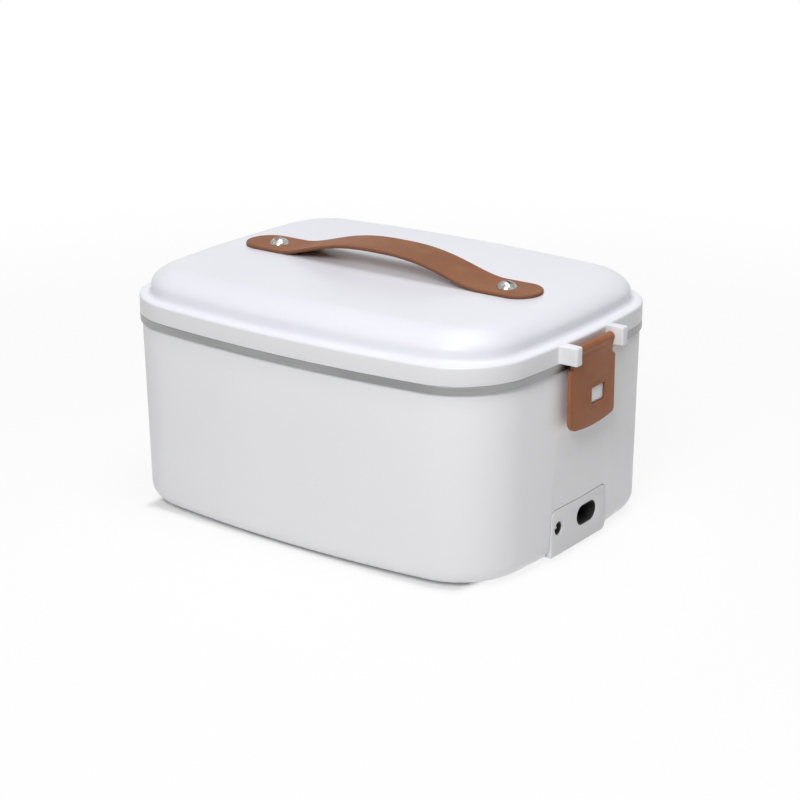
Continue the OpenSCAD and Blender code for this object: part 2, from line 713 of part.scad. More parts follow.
module inlet_screws() {
    x0 = panel_back_x - inlet_flange;
    color([0.75, 0.75, 0.77]) for (s = [-1, 1])
        translate([x0, inlet_y + s * inlet_ear, socket_z]) rotate([0, 90, 0]) rotate_extrude($fn = 32)
            polygon([[0, -1.4], [1.5, -1.4], [2, -0.9], [2, 0], [inlet_screw_radius, 0],
                [inlet_screw_radius, 3.4], [0.3, 4], [0, 4]]);
}

// Low-voltage jack
jack_bore = 2.75;
jack_depth = 9.5;
jack_pin_radius = 1.05;
jack_front_x = panel_face_x - 0.8;
jack_half = 4.1;
module dc_jack() {
    color([0.07, 0.07, 0.07]) difference() {
        union() {
            translate([panel_back_x - join, jack_y, socket_z]) rotate([0, 90, 0])
                cylinder(r = jack_opening / 2 - fit_gap / 2, h = jack_front_x - panel_back_x + join, $fn = 48);
            translate([jack_back_x, jack_y - jack_half, socket_z - 4.6])
                cube([panel_back_x - jack_back_x, 2 * jack_half, 9.2]);
            for (s = [-1, 1]) translate([jack_tab_x + wire_radius, jack_y + s * 2 - 1, socket_z - 0.4])
                cube([jack_back_x - jack_tab_x - wire_radius + join, 2, 0.8]);
        }
        translate([jack_front_x - jack_depth, jack_y, socket_z]) rotate([0, 90, 0])
            cylinder(r = jack_bore, h = jack_depth + 1, $fn = 48);
        translate([jack_front_x - jack_depth - 2.5, jack_y, socket_z]) rotate([0, 90, 0])
            cylinder(r = jack_pin_radius + pin_gap, h = 4, $fn = 32);
    }
}
module dc_pin() {
    color([0.82, 0.82, 0.84]) translate([jack_front_x - jack_depth - 2.4, jack_y, socket_z])
        rotate([0, 90, 0]) rotate_extrude($fn = 32) polygon([
            [0, 0], [jack_pin_radius, 0], [jack_pin_radius, 10.6], [jack_pin_radius - 0.5, 11.2],
            [0, 11.2]
        ]);
}

// Pot: rolled skirt, flange, wall and floor in one even thickness
band_roll = 0.9;
mouth_roll = 2;
pot_path = concat(
    [[0, band_z]],
    arc([band_roll, flange_z - band_roll], band_roll, 180, 90, 2),
    arc([mouth_inset - mouth_roll, flange_z - mouth_roll], mouth_roll, 90, 0, 3),
    arc([mouth_inset + pot_draft + pot_round, pot_floor_z + pot_round], pot_round, 180, 270, 5)
);
module inner_pot() {
    color([0.72, 0.73, 0.74]) loft(walled(pot_path, pot_wall));
}

// Lid: lip, flat border, foot fillet and dome shoulder in one even thickness
lip_round = 1.4;
foot_fillet = 2.6;
shoulder_z = border_z + 4.9;
shoulder_steps = 7;
function shoulder(a) = [
    dome_inset - (dome_inset - dome_foot - 0.1) * pow(cos(a), 2 / dome_power),
    shoulder_z + (top_z - shoulder_z) * pow(sin(a), 2 / dome_power)
];
lid_rise = concat(
    arc([dome_foot - foot_fillet, border_z + foot_fillet], foot_fillet, 270, 360, 3),
    [for (i = [0:shoulder_steps]) shoulder(90 * i / shoulder_steps)],
    [[dome_inset + 2, top_z]]
);
lid_path = concat([[0, lip_z]], arc([lip_round, border_z - lip_round], lip_round, 180, 90, 3), lid_rise);
lid_core = concat([[0, lip_z], [0, border_z]], lid_rise);
lid_under_z = top_z - wall;
ear_fillet = 2;
liner_screw_x = 58;
liner_screw_y = 42;
liner_top_z = flange_z + 3.3;
module ear_profile() {
    far = ear_tip_x;
    near = half_length - 1.6;
    h = border_z - ear_low_z;
    translate([near, ear_low_z]) square([far - near - ear_round, h]);
    translate([near, ear_low_z + ear_round]) square([far - near, h - 2 * ear_round]);
    for (z = [ear_low_z + ear_round, border_z - ear_round])
        translate([far - ear_round, z]) circle(r = ear_round, $fn = 32);
}
module ears() {
    for (s = [-1, 1]) translate([0, s * (ear_inner_y + ear_width / 2), 0])
        across_y(ear_width) ear_profile();
    // A fillet runs up each ear's outer root
    skin_x = end_centre + sqrt(pow(end_radius + corner_radius, 2) - pow(ear_outer_y + ear_fillet, 2));
    translate([0, 0, ear_low_z]) linear_extrude(border_z - lip_round - ear_low_z)
        for (s = [-1, 1]) scale([1, s]) difference() {
            translate([skin_x - 1, ear_outer_y - join]) square([ear_fillet + 1, ear_fillet + join]);
            translate([skin_x + ear_fillet, ear_outer_y + ear_fillet]) circle(r = ear_fillet, $fn = 32);
        }
}
module lid_shell() {
    pin_hole = pin_diameter / 2 + pin_gap;
    color(shell_white) difference() {
        union() {
            loft(concat(reversed(beside(lid_core, wall)), lid_path));
            for (turn = [0, 180]) rotate([0, 0, turn]) ears();
            at_corners(liner_screw_x, liner_screw_y) disc(3.6, liner_top_z, lid_under_z + join);
        }
        for (s = [-1, 1]) translate([s * stud_x, 0, 0])
            disc(stud_shank / 2 + pin_gap, lid_under_z - 1, top_z + 1);
        at_corners(liner_screw_x, liner_screw_y)
            disc(small_shank + pin_gap, liner_top_z - 1, liner_top_z + 9);
        for (turn = [0, 180]) rotate([0, 0, turn])
            translate([hinge_x, -ear_inner_y - ear_width + 1.4, hinge_z])
                rotate([-90, 0, 0]) cylinder(r = pin_hole, h = 2 * ear_outer_y, $fn = 48);
    }
}

// Lid liner: a tray whose rim sits under the lid's border
liner_wall = 1.8;
liner_edge = wall + 2.2;
liner_step = mouth_inset + 1.1;
liner_rim_z = border_z - wall;
liner_path = [
    [liner_edge, liner_rim_z], [liner_step, liner_rim_z],
    [liner_step + 0.6, liner_top_z], [liner_step + 4, liner_top_z]
];
module lid_liner() {
    color([0.90, 0.90, 0.90]) difference() {
        loft(walled(liner_path, liner_wall));
        at_corners(liner_screw_x, liner_screw_y)
            disc(small_shank + 0.15, liner_top_z - 4, liner_top_z + 1);
    }
}
module lid_gasket() {
    outer = liner_edge + 1.2;
    inner = liner_step - liner_wall - 0.5;
    top = liner_rim_z - liner_wall;
    low = flange_z + 0.4;
    middle = (outer + inner) / 2;
    color([0.85, 0.85, 0.84]) loft([
        [outer, top], [inner, top], [inner, low], [inner - 1.1, low], [middle, top - 1.6],
        [outer + 1.1, low], [outer, low]
    ], ring = true);
}
module liner_screws() {
    color([0.75, 0.75, 0.77]) at_corners(liner_screw_x, liner_screw_y)
        screw_up(liner_top_z - liner_wall - 1.6, small_head, 1.6, small_shank, liner_top_z + 8);
}

// Strap: an arched band with round ends
stud_x = strap_length / 2 - stud_inset;
strap_flat_x = stud_x - 8;
strap_steps = 36;
function strap_lift(x) = let (u = min(abs(x) / strap_flat_x, 1))
    strap_rise * pow(1 - pow(u, 2.46), 2);
module strap_band(width) {
    half = strap_length / 2;
    xs = concat([-half], [for (i = [0:strap_steps]) strap_flat_x * (2 * i / strap_steps - 1)], [half]);
    n = len(xs);
    across_y(width) polygon(concat(
        [for (x = xs) [x, top_z + strap_lift(x)]],
        [for (i = [n - 1:-1:0]) [xs[i], top_z + strap_thick + strap_lift(xs[i])]]
    ));
}
module handle_strap() {
    color(leather_brown) difference() {
        intersection() {
            strap_band(strap_width + 2);
            translate([0, 0, top_z - 1]) linear_extrude(strap_rise + strap_thick + 2)
                obround([strap_length, strap_width]);
        }
        for (s = [-1, 1]) translate([s * stud_x, 0, 0])
            disc(stud_shank / 2 + pin_gap, top_z - 1, top_z + strap_thick + 1);
    }
}

// Studs: domed heads above the strap, shanks down to the nuts
washer_thick = 0.8;
washer_radius = 5.5;
nut_radius = 4.04;
nut_height = 3;
stud_tip_z = lid_under_z - washer_thick - nut_height - 1;
module stud() {
    seat = top_z + strap_thick;
    r = stud_diameter / 2;
    rim = 0.6;
    ball = (r * r + (stud_dome - rim) * (stud_dome - rim)) / (2 * (stud_dome - rim));
    ball_z = seat + stud_dome - ball;
    edge_angle = acos(r / ball);
    rotate_extrude($fn = 64) polygon(concat(
        [[0, stud_tip_z], [stud_shank / 2 - 0.5, stud_tip_z], [stud_shank / 2, stud_tip_z + 0.5],
            [stud_shank / 2, seat], [r, seat]],
        [for (i = [0:6]) on_circle([0, ball_z], ball, edge_angle + (90 - edge_angle) * i / 6)]
    ));
}
module handle_stud_left() {
    color([0.78, 0.79, 0.80]) translate([-stud_x, 0, 0]) stud();
}
module handle_stud_right() {
    color([0.78, 0.79, 0.80]) translate([stud_x, 0, 0]) stud();
}
module stud_washers() {
    color([0.74, 0.75, 0.76]) for (s = [-1, 1]) translate([s * stud_x, 0, 0])
        difference() {
            disc(washer_radius, lid_under_z - washer_thick, lid_under_z);
            disc(stud_shank / 2 + 0.15, lid_under_z - washer_thick - 1, lid_under_z + 1);
        }
}
module stud_nuts() {
    high = lid_under_z - washer_thick;
    color([0.74, 0.75, 0.76]) for (s = [-1, 1]) translate([s * stud_x, 0, 0])
        difference() {
            translate([0, 0, high - nut_height]) cylinder(r = nut_radius, h = nut_height, $fn = 6);
            disc(stud_shank / 2 + pin_gap, high - nut_height - 1, high + 1);
        }
}

// Hinge pins
module latch_pin() {
    start = -ear_outer_y + 1.5;
    color([0.76, 0.77, 0.78]) translate([hinge_x, start, hinge_z]) rotate([-90, 0, 0])
        cylinder(r = pin_diameter / 2, h = ear_outer_y - 0.3 - start, $fn = 48);
}
module latch_pin_right() { latch_pin(); }
module latch_pin_left() { rotate([0, 0, 180]) latch_pin(); }

// Latch: a plate hung from a barrel between the ears, with shoulders below the ears,
// a bowed lower edge and a window in a raised frame
frame_raise = 0.5;
frame_border = 1.9;
frame_line = 0.8;
bow_steps = 8;
function bow_z(y) = hinge_z - latch_drop + latch_bow * pow(2 * y / plate_span, 2);
module latch_outline() {
    half = plate_span / 2;
    translate([-latch_width / 2, hinge_z - shoulder_drop - 3]) square([latch_width, shoulder_drop + 3]);
    offset(r = tight_corner, $fn = 32) offset(delta = -tight_corner) polygon(concat(
        [[-half, hinge_z - shoulder_drop], [-half, bow_z(-half) + wide_corner]],
        arc([wide_corner - half, bow_z(wide_corner - half) + wide_corner], wide_corner, 190, 262, 5),
        [for (i = [1:bow_steps])
            let (y = wide_corner - half + (plate_span - wide_corner) * i / bow_steps) [y, bow_z(y)]],
        [[half, hinge_z - shoulder_drop]]
    ));
}
module latch() {
    color(latch_brown) difference() {
        union() {
            along_x(latch_back_x, latch_front_x) latch_outline();
            along_x(latch_front_x - join, latch_front_x + frame_raise)
                translate([window_y, window_z]) difference() {
                    round_rect([window_width + 2 * frame_border, window_height + 2 * frame_border], 2);
                    round_rect([window_width + 2 * (frame_border - frame_line),
                        window_height + 2 * (frame_border - frame_line)], 1.2);
                }
            translate([hinge_x, 0, hinge_z]) rotate([90, 0, 0])
                cylinder(r = barrel_radius, h = latch_width, center = true, $fn = 64);
        }
        along_x(latch_back_x - 1, latch_front_x + 2) translate([window_y, window_z])
            square([window_width, window_height], center = true);
        translate([hinge_x, 0, hinge_z]) rotate([90, 0, 0])
            cylinder(r = pin_diameter / 2 + pin_gap, h = latch_width + 2, center = true, $fn = 48);
    }
}
module latch_right() { latch(); }
module latch_left() { rotate([0, 0, 180]) latch(); }

outer_shell();
inner_tub();
base_plate();
rubber_feet();
base_screws();
heating_plate();
ptc_heaters();
heater_clamps();
heater_screws();
thermostat();
thermal_fuse();
fuse_clip();
insulation_pad();
lead_wires();
socket_panel();
ac_inlet();
ac_pins();
inlet_screws();
dc_jack();
dc_pin();
inner_pot();
lid_shell();
lid_liner();
lid_gasket();
liner_screws();
handle_strap();
handle_stud_left();
handle_stud_right();
stud_washers();
stud_nuts();
latch_pin_left();
latch_pin_right();
latch_left();
latch_right();
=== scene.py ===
import json
import math
import bmesh
import bpy
from mathutils import Matrix, Vector

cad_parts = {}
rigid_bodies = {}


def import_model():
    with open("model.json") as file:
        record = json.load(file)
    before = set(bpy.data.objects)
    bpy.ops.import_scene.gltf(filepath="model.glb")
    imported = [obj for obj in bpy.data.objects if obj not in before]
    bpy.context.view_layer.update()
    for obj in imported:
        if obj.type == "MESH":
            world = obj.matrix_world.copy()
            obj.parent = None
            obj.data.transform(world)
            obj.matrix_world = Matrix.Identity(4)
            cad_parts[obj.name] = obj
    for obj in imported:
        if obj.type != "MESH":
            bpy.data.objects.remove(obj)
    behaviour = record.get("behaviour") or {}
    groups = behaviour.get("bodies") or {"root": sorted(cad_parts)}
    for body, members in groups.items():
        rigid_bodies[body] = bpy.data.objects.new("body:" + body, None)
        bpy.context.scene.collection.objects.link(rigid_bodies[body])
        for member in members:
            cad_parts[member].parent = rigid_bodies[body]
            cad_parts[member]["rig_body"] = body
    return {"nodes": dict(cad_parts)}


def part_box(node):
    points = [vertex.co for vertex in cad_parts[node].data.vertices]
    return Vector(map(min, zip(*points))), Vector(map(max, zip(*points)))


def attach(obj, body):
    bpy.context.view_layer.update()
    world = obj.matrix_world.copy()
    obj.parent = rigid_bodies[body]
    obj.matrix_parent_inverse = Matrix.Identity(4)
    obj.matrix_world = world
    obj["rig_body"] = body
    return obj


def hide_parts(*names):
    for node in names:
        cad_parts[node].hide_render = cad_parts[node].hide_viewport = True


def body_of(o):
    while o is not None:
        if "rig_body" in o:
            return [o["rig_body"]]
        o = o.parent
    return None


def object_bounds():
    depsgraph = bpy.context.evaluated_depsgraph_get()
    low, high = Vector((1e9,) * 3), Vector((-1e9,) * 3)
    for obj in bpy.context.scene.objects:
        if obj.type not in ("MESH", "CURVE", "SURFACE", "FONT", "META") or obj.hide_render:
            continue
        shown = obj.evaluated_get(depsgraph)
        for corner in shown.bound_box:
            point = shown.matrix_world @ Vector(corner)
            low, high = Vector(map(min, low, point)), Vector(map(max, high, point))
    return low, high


# Electric lunch box: white moulded body and domed lid, lift-out steel pot,
# strap handle on two studs, a latch at each end and two sockets low on the +X end
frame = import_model()
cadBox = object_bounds()
mm = 0.001
print("frame loaded,", len(frame["nodes"]), "nodes")


# the way from the object towards a camera or lamp, from its azimuth and elevation in degrees
def wayTo(azimuth, elevation):
    a, e = math.radians(azimuth), math.radians(elevation)
    return Vector((math.sin(a) * math.cos(e), -math.cos(a) * math.cos(e), math.sin(e)))


# camera
viewFrom = {
    "azimuth": 36.65, "elevation": 19.08, "roll": -0.30,  # degrees
    "distance": 1065.57 * mm, "lens": 95.59,
    "target": Vector((7.32, -1.25, 55.17)) * mm,
}


def makeCamera(v):
    a, r = math.radians(v["azimuth"]), math.radians(v["roll"])
    back = wayTo(v["azimuth"], v["elevation"])
    right = Vector((math.cos(a), math.sin(a), 0))
    up = back.cross(right)
    turned = Matrix((math.cos(r) * right + math.sin(r) * up, math.cos(r) * up - math.sin(r) * right, back))
    data = bpy.data.cameras.new("photoCamera")
    data.lens, data.sensor_width = v["lens"], 36
    data.clip_start, data.clip_end = 0.01, 50
    camera = bpy.data.objects.new("photoCamera", data)
    place = Matrix.Translation(v["target"] + back * v["distance"])
    camera.matrix_world = place @ turned.transposed().to_4x4()
    bpy.context.collection.objects.link(camera)
    bpy.context.scene.camera = camera


makeCamera(viewFrom)


# shader sums: a Wire holds one output socket, and an expression on wires adds its nodes
class Wire:
    def __init__(self, tree, socket=None):
        self.tree, self.socket = tree, socket

    def node(self, kind, inputs, settings=None, output=0):
        made = self.tree.nodes.new("ShaderNode" + kind)
        for key, value in (settings or {}).items():
            setattr(made, key, value)
        for key, value in inputs.items():
            if isinstance(value, Wire):
                self.tree.links.new(value.socket, made.inputs[key])
            else:
                made.inputs[key].default_value = value
        return Wire(self.tree, made.outputs[output])

    def reckon(self, operation, first, second):
        return self.node("Math", {0: first, 1: second}, {"operation": operation})

    def __add__(self, other):
        return self.reckon("ADD", self, other)

    def __mul__(self, other):
        return self.reckon("MULTIPLY", self, other)

    def __sub__(self, other):
        return self.reckon("SUBTRACT", self, other)

    def __rsub__(self, other):
        return self.reckon("SUBTRACT", other, self)

    __radd__ = __add__
    __rmul__ = __mul__

    def clamped(self):
        return self.node("Math", {0: self, 1: 0.0}, {"operation": "ADD", "use_clamp": True})

    # 0 below low, 1 above high
    def ramp(self, low, high):
        return self.node("MapRange", {"Value": self, "From Min": low, "From Max": high},
                         {"interpolation_type": "SMOOTHSTEP"})

    def noise(self, place, scale, detail, roughness=0.5):
        return self.node("TexNoise", {"Vector": place, "Scale": scale, "Detail": detail,
                                      "Roughness": roughness})

    def blend(self, factor, first, second):
        return self.node("Mix", {0: factor, 6: first, 7: second}, {"data_type": "RGBA"}, output=2)


# an sRGB colour, 0 to 255, as linear light
def paint(r, g, b):
    def line(c):
        c /= 255
        return c / 12.92 if c <= 0.04045 else ((c + 0.055) / 1.055) ** 2.4
    return (line(r), line(g), line(b), 1)


def newMaterial(name, fixed):
    material = bpy.data.materials.new(name)
    material.use_nodes = True
    tree = material.node_tree
    shader = tree.nodes["Principled BSDF"]
    for key, value in fixed.items():
        shader.inputs[key].default_value = value
    start = Wire(tree)
    place = start.node("TexCoord", {}, output=3)
    return material, shader, start, place


def feed(shader, name, wire):
    wire.tree.links.new(wire.socket, shader.inputs[name])


def bumped(shader, height, distance):
    feed(shader, "Normal", height.node("Bump", {"Height": height, "Distance": distance, "Strength": 1.0}))


# moulded plastic: faint colour drift, fine spark-eroded grain, uneven gloss
def mouldedPlastic(name, form):
    material, shader, start, place = newMaterial(
        name, {"IOR": 1.49, "Specular IOR Level": form.get("specular", 0.5)})
    drift = start.noise(place, form["driftScale"], 2.0)
    grain = start.noise(place, form["grainScale"], 2.0, 0.6)
    colour = start.blend(drift.ramp(0.3, 0.7), form["colour"], form["drifted"])
    # painted shade: a form's foot gives everything below a height a darker colour, for a wall that gets less
    # light
    if "foot" in form:
        paintedShadeColour, low, high = form["foot"]
        height = start.node("SeparateXYZ", {0: place}, output=2)
        colour = start.blend(height.ramp(low, high), paintedShadeColour, colour)
    feed(shader, "Base Color", colour)
    feed(shader, "Roughness", drift.ramp(0.25, 0.75) * form["glossDrift"] + form["roughness"])
    bumped(shader, grain, form["grainDepth"])
    return material


shellWhite = mouldedPlastic("shellWhite", {
    "colour": paint(236, 236, 238), "drifted": paint(234, 234, 236), "roughness": 0.36, "specular": 0.5,
    "glossDrift": 0.05, "driftScale": 14, "grainScale": 2600, "grainDepth": 0.012 * mm})
lidWhite = mouldedPlastic("lidWhite", {
    "colour": paint(240, 241, 248), "drifted": paint(238, 239, 247), "roughness": 0.30, "specular": 0.36,
    "foot": (paint(231, 231, 233), 108.1 * mm, 109.1 * mm),  # the lip's wall, painted darker as shade: colour, from and to height
    "glossDrift": 0.05, "driftScale": 14, "grainScale": 2600, "grainDepth": 0.010 * mm})
wellWhite = mouldedPlastic("wellWhite", {
    "colour": paint(230, 230, 231), "drifted": paint(226, 226, 228), "roughness": 0.42,
    "glossDrift": 0.08, "driftScale": 20, "grainScale": 2200, "grainDepth": 0.02 * mm})
panelGrey = mouldedPlastic("panelGrey", {
    "colour": paint(231, 231, 232), "drifted": paint(228, 228, 230), "roughness": 0.48, "specular": 0.3,
    "glossDrift": 0.06, "driftScale": 30, "grainScale": 2400, "grainDepth": 0.02 * mm})
baseGrey = mouldedPlastic("baseGrey", {
    "colour": paint(206, 206, 208), "drifted": paint(200, 200, 203), "roughness": 0.55,
    "glossDrift": 0.08, "driftScale": 30, "grainScale": 1500, "grainDepth": 0.05 * mm})
socketBlack = mouldedPlastic("socketBlack", {
    "colour": paint(42, 42, 43), "drifted": paint(50, 49, 49), "roughness": 0.42,
    "glossDrift": 0.1, "driftScale": 90, "grainScale": 2400, "grainDepth": 0.02 * mm})
latchBrown = mouldedPlastic("latchBrown", {
    "colour": paint(157, 101, 68), "drifted": paint(150, 96, 64), "roughness": 0.44, "specular": 0.2,
    "glossDrift": 0.08, "driftScale": 45, "grainScale": 1900, "grainDepth": 0.03 * mm})
phenolicBrown = mouldedPlastic("phenolicBrown", {
    "colour": paint(66, 52, 44), "drifted": paint(54, 43, 38), "roughness": 0.4,
    "glossDrift": 0.1, "driftScale": 120, "grainScale": 1500, "grainDepth": 0.04 * mm})
wireSleeve = mouldedPlastic("wireSleeve", {
    "colour": paint(176, 42, 36), "drifted": paint(160, 36, 32), "roughness": 0.5,
    "glossDrift": 0.1, "driftScale": 60, "grainScale": 1500, "grainDepth": 0.03 * mm})


# metal: brushed round the piece, or cast, with a faint uneven tone
def metal(name, form):
    material, shader, start, place = newMaterial(name, {"Metallic": 1.0})
    stretched = start.node("Mapping", {"Vector": place, "Scale": form["stretch"]})
    lines = start.noise(stretched, 1.0, 4.0, 0.65)
    tone = start.noise(place, form["toneScale"], 2.0)
    mixed = (lines * 0.6 + tone * 0.4).ramp(0.3, 0.7)
    feed(shader, "Base Color", start.blend(mixed, form["dark"], form["light"]))
    feed(shader, "Roughness", lines * form["roughDrift"] + form["roughness"])
    bumped(shader, lines, form["depth"])
    return material


bandSteel = metal("bandSteel", {
    "dark": paint(138, 138, 139), "light": paint(168, 168, 169), "roughness": 0.30,
    "roughDrift": 0.14, "depth": 0.02 * mm, "stretch": (25, 25, 5200), "toneScale": 18})
fastenerSteel = metal("fastenerSteel", {
    "dark": paint(176, 177, 180), "light": paint(214, 215, 218), "roughness": 0.24,
    "roughDrift": 0.12, "depth": 0.01 * mm, "stretch": (900, 900, 900), "toneScale": 300})
studMetal = metal("studMetal", {
    "dark": paint(104, 104, 104), "light": paint(196, 195, 191), "roughness": 0.14,
    "roughDrift": 0.16, "depth": 0.03 * mm, "stretch": (420, 420, 420), "toneScale": 240})
castAluminium = metal("castAluminium", {
    "dark": paint(178, 179, 181), "light": paint(204, 205, 207), "roughness": 0.38,
    "roughDrift": 0.14, "depth": 0.03 * mm, "stretch": (2400, 60, 60), "toneScale": 40})
brassContact = metal("brassContact", {
    "dark": paint(170, 166, 150), "light": paint(212, 208, 190), "roughness": 0.25,
    "roughDrift": 0.12, "depth": 0.01 * mm, "stretch": (200, 900, 900), "toneScale": 200})


# leather: pebbled grain and pores, and dark sealed edges
def leather(name, form):
    material, shader, start, place = newMaterial(name, {"IOR": 1.45, "Specular IOR Level": 0.24})
    pebbles = start.node("TexVoronoi", {"Vector": place, "Scale": form["pebbleScale"], "Randomness": 1.0},
                         {"feature": "SMOOTH_F1"})
    pores = start.noise(place, form["poreScale"], 4.0, 0.65)
    tone = start.noise(place, form["toneScale"], 4.0, 0.55)
    edge = start.node("Attribute", {}, {"attribute_name": "sealedEdge"}, output=2)
    worn = start.blend(tone.ramp(0.32, 0.68), form["dark"], form["light"])
    pits = (1 - pebbles * form["pebbleTone"]).clamped() * 0.25 + pores * 0.12
    speckled = start.blend(pits, worn, form["pit"])
    feed(shader, "Base Color", start.blend(edge.clamped(), speckled, form["edge"]))
    feed(shader, "Roughness", (pores * 0.16 + form["roughness"]) - edge * 0.08)
    bumped(shader, pebbles * 0.75 + pores * 0.25, form["depth"])
    return material


strapLeather = leather("strapLeather", {
    "dark": paint(139, 91, 63), "light": paint(152, 102, 71), "pit": paint(116, 72, 48),
    "edge": paint(112, 76, 57), "pebbleScale": 950, "poreScale": 2300, "toneScale": 55,
    "pebbleTone": 1.1, "roughness": 0.52, "depth": 0.06 * mm})


# soft and fibrous stuffs
def dullStuff(name, form):
    material, shader, start, place = newMaterial(name, {"IOR": 1.42})
    fibres = start.noise(place, form["scale"], 5.0, 0.7)
    feed(shader, "Base Color", start.blend(fibres.ramp(0.3, 0.7), form["colour"], form["drifted"]))
    feed(shader, "Roughness", fibres * 0.15 + form["roughness"])
    bumped(shader, fibres, form["depth"])
    return material


footRubber = dullStuff("footRubber", {
    "colour": paint(46, 46, 47), "drifted": paint(58, 58, 59), "scale": 900, "roughness": 0.72,
    "depth": 0.05 * mm})
gasketSilicone = dullStuff("gasketSilicone", {
    "colour": paint(226, 225, 222), "drifted": paint(216, 216, 213), "scale": 300, "roughness": 0.42,
    "depth": 0.02 * mm})
matFibre = dullStuff("matFibre", {
    "colour": paint(222, 217, 204), "drifted": paint(200, 194, 180), "scale": 700, "roughness": 0.85,
    "depth": 0.25 * mm})
heaterCeramic = dullStuff("heaterCeramic", {
    "colour": paint(166, 161, 152), "drifted": paint(148, 144, 136), "scale": 500, "roughness": 0.6,
    "depth": 0.06 * mm})
print("materials made")

# where things are, from the frame
shellLow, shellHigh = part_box("outer_shell")
potLow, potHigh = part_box("inner_pot")
lidLow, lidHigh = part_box("lid_shell")
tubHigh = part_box("inner_tub")[1]
strapLow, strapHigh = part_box("handle_strap")
studLow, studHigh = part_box("handle_stud_right")
latchLow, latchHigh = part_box("latch_right")
hinge = sum(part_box("latch_pin_right"), Vector()) / 2
panelLow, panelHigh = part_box("socket_panel")
linerLow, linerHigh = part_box("lid_liner")
gasketLow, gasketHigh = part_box("lid_gasket")

# the plan that every moulding shares: eight arcs, each tangent to the next
plan = {
    "cornerRadius": 39 * mm, "longBow": 4.6 * mm, "endBow": 2.5 * mm,
    "endSteps": 22, "cornerSteps": 20, "longSteps": 34,
}


def planArcs(p):
    r = p["cornerRadius"]
    coreLong, coreWide = potHigh.x - r, potHigh.y - r
    longRadius = (coreLong ** 2 + p["longBow"] ** 2) / (2 * p["longBow"])
    endRadius = (coreWide ** 2 + p["endBow"] ** 2) / (2 * p["endBow"])
    longMiddle, endMiddle = coreWide - longRadius, coreLong - endRadius
    span = math.hypot(endMiddle, longMiddle)
    foot = (longRadius ** 2 - endRadius ** 2 + span ** 2) / (2 * span)
    rise = math.sqrt(longRadius ** 2 - foot ** 2)
    cx = (endMiddle * foot - longMiddle * rise) / span
    cy = longMiddle + (-longMiddle * foot - endMiddle * rise) / span
    endHalf, longHalf = math.asin(cy / endRadius), math.asin(cx / longRadius)
    corner = math.pi / 2 - endHalf - longHalf
    start = Vector((endMiddle, 0, 0)) + (endRadius + r) * Vector((math.cos(endHalf), -math.sin(endHalf), 0))
    arcs = [((endMiddle, 0), 2 * endHalf, p["endSteps"]), ((cx, cy), corner, p["cornerSteps"]),
            ((0, longMiddle), 2 * longHalf, p["longSteps"]), ((-cx, cy), corner, p["cornerSteps"])]
    arcs += [((-x, -y), turn, steps) for (x, y), turn, steps in arcs]
    return start, arcs


# one closed outline in a new bmesh, each vertex knowing its place on the plan and its outward way
def planOutline(inset, z):
    bm = bmesh.new()
    planAt = bm.verts.layers.float_vector.new("planAt")
    outward = bm.verts.layers.float_vector.new("outward")
    start, arcs = planArcs(plan)
    last = bm.verts.new(start)
    for (x, y), turn, steps in arcs:
        before = len(bm.verts)
        spun = bmesh.ops.spin(bm, geom=[last], cent=(x, y, 0), axis=(0, 0, 1), angle=turn, steps=steps)
        bm.verts.ensure_lookup_table()
        for v in [last] + bm.verts[before:]:
            v[planAt] = v.co
            v[outward] = (v.co - Vector((x, y, 0))).normalized()
        last = spun["geom_last"][0]
    bmesh.ops.remove_doubles(bm, verts=bm.verts, dist=0.01 * mm)
    for v in bm.verts:
        v.co = v[planAt] - v[outward] * inset
        v.co.z = z
    return bm


# the next ring of a moulding's section
def addRing(bm, edges, inset, z):
    planAt = bm.verts.layers.float_vector["planAt"]
    outward = bm.verts.layers.float_vector["outward"]
    grown = bmesh.ops.extrude_edge_only(bm, edges=edges)["geom"]
    verts = {g for g in grown if isinstance(g, bmesh.types.BMVert)}
    for v in verts:
        v.co = v[planAt] - v[outward] * inset
        v.co.z = z
    return [g for g in grown if isinstance(g, bmesh.types.BMEdge) and set(g.verts) <= verts]


# rings through a section of (inset, z) points; closed joins the ends, else they are filled
def mouldRound(section, closed):
    bm = planOutline(*section[0])
    first = edges = bm.edges[:]
    for inset, z in section[1:] + ([section[0]] if closed else []):
        edges = addRing(bm, edges, inset, z)
    if closed:
        bmesh.ops.remove_doubles(bm, verts=bm.verts, dist=0.002 * mm)
    else:
        for rim in (first, edges):
            bmesh.ops.edgeloop_fill(bm, edges=rim)
    bmesh.ops.recalc_face_normals(bm, faces=bm.faces)
    return bm


# section points along an arc, in degrees
def sweep(cx, cz, r, start, end, steps):
    turn = [math.radians(start + (end - start) * i / steps) for i in range(steps + 1)]
    return [(cx + r * math.cos(t), cz + r * math.sin(t)) for t in turn]


# a section moved sideways by a wall
def besideSection(path, t):
    heads = [(Vector(b) - Vector(a)).normalized() for a, b in zip(path, path[1:])]
    moved = []
    for i, point in enumerate(path):
        u, v = heads[max(i - 1, 0)], heads[min(i, len(heads) - 1)]
        side = Vector((u.y + v.y, -u.x - v.x)) * (t / (1 + u.dot(v)))
        moved.append(tuple(Vector(point) + side))
    return moved


# bevels edges or corners
def softened(bm, geom, size, segments, affect="EDGES", clamp=False):
    bmesh.ops.bevel(bm, geom=geom, offset=size, offset_type="OFFSET", segments=segments, profile=0.5,
                    affect=affect, material=-1, clamp_overlap=clamp)


# gives a flat shape its depth
def pulled(bm, way):
    grown = bmesh.ops.extrude_face_region(bm, geom=bm.faces[:], use_keep_orig=True)["geom"]
    bmesh.ops.translate(bm, vec=way, verts=[g for g in grown if isinstance(g, bmesh.types.BMVert)])
    bmesh.ops.recalc_face_normals(bm, faces=bm.faces)


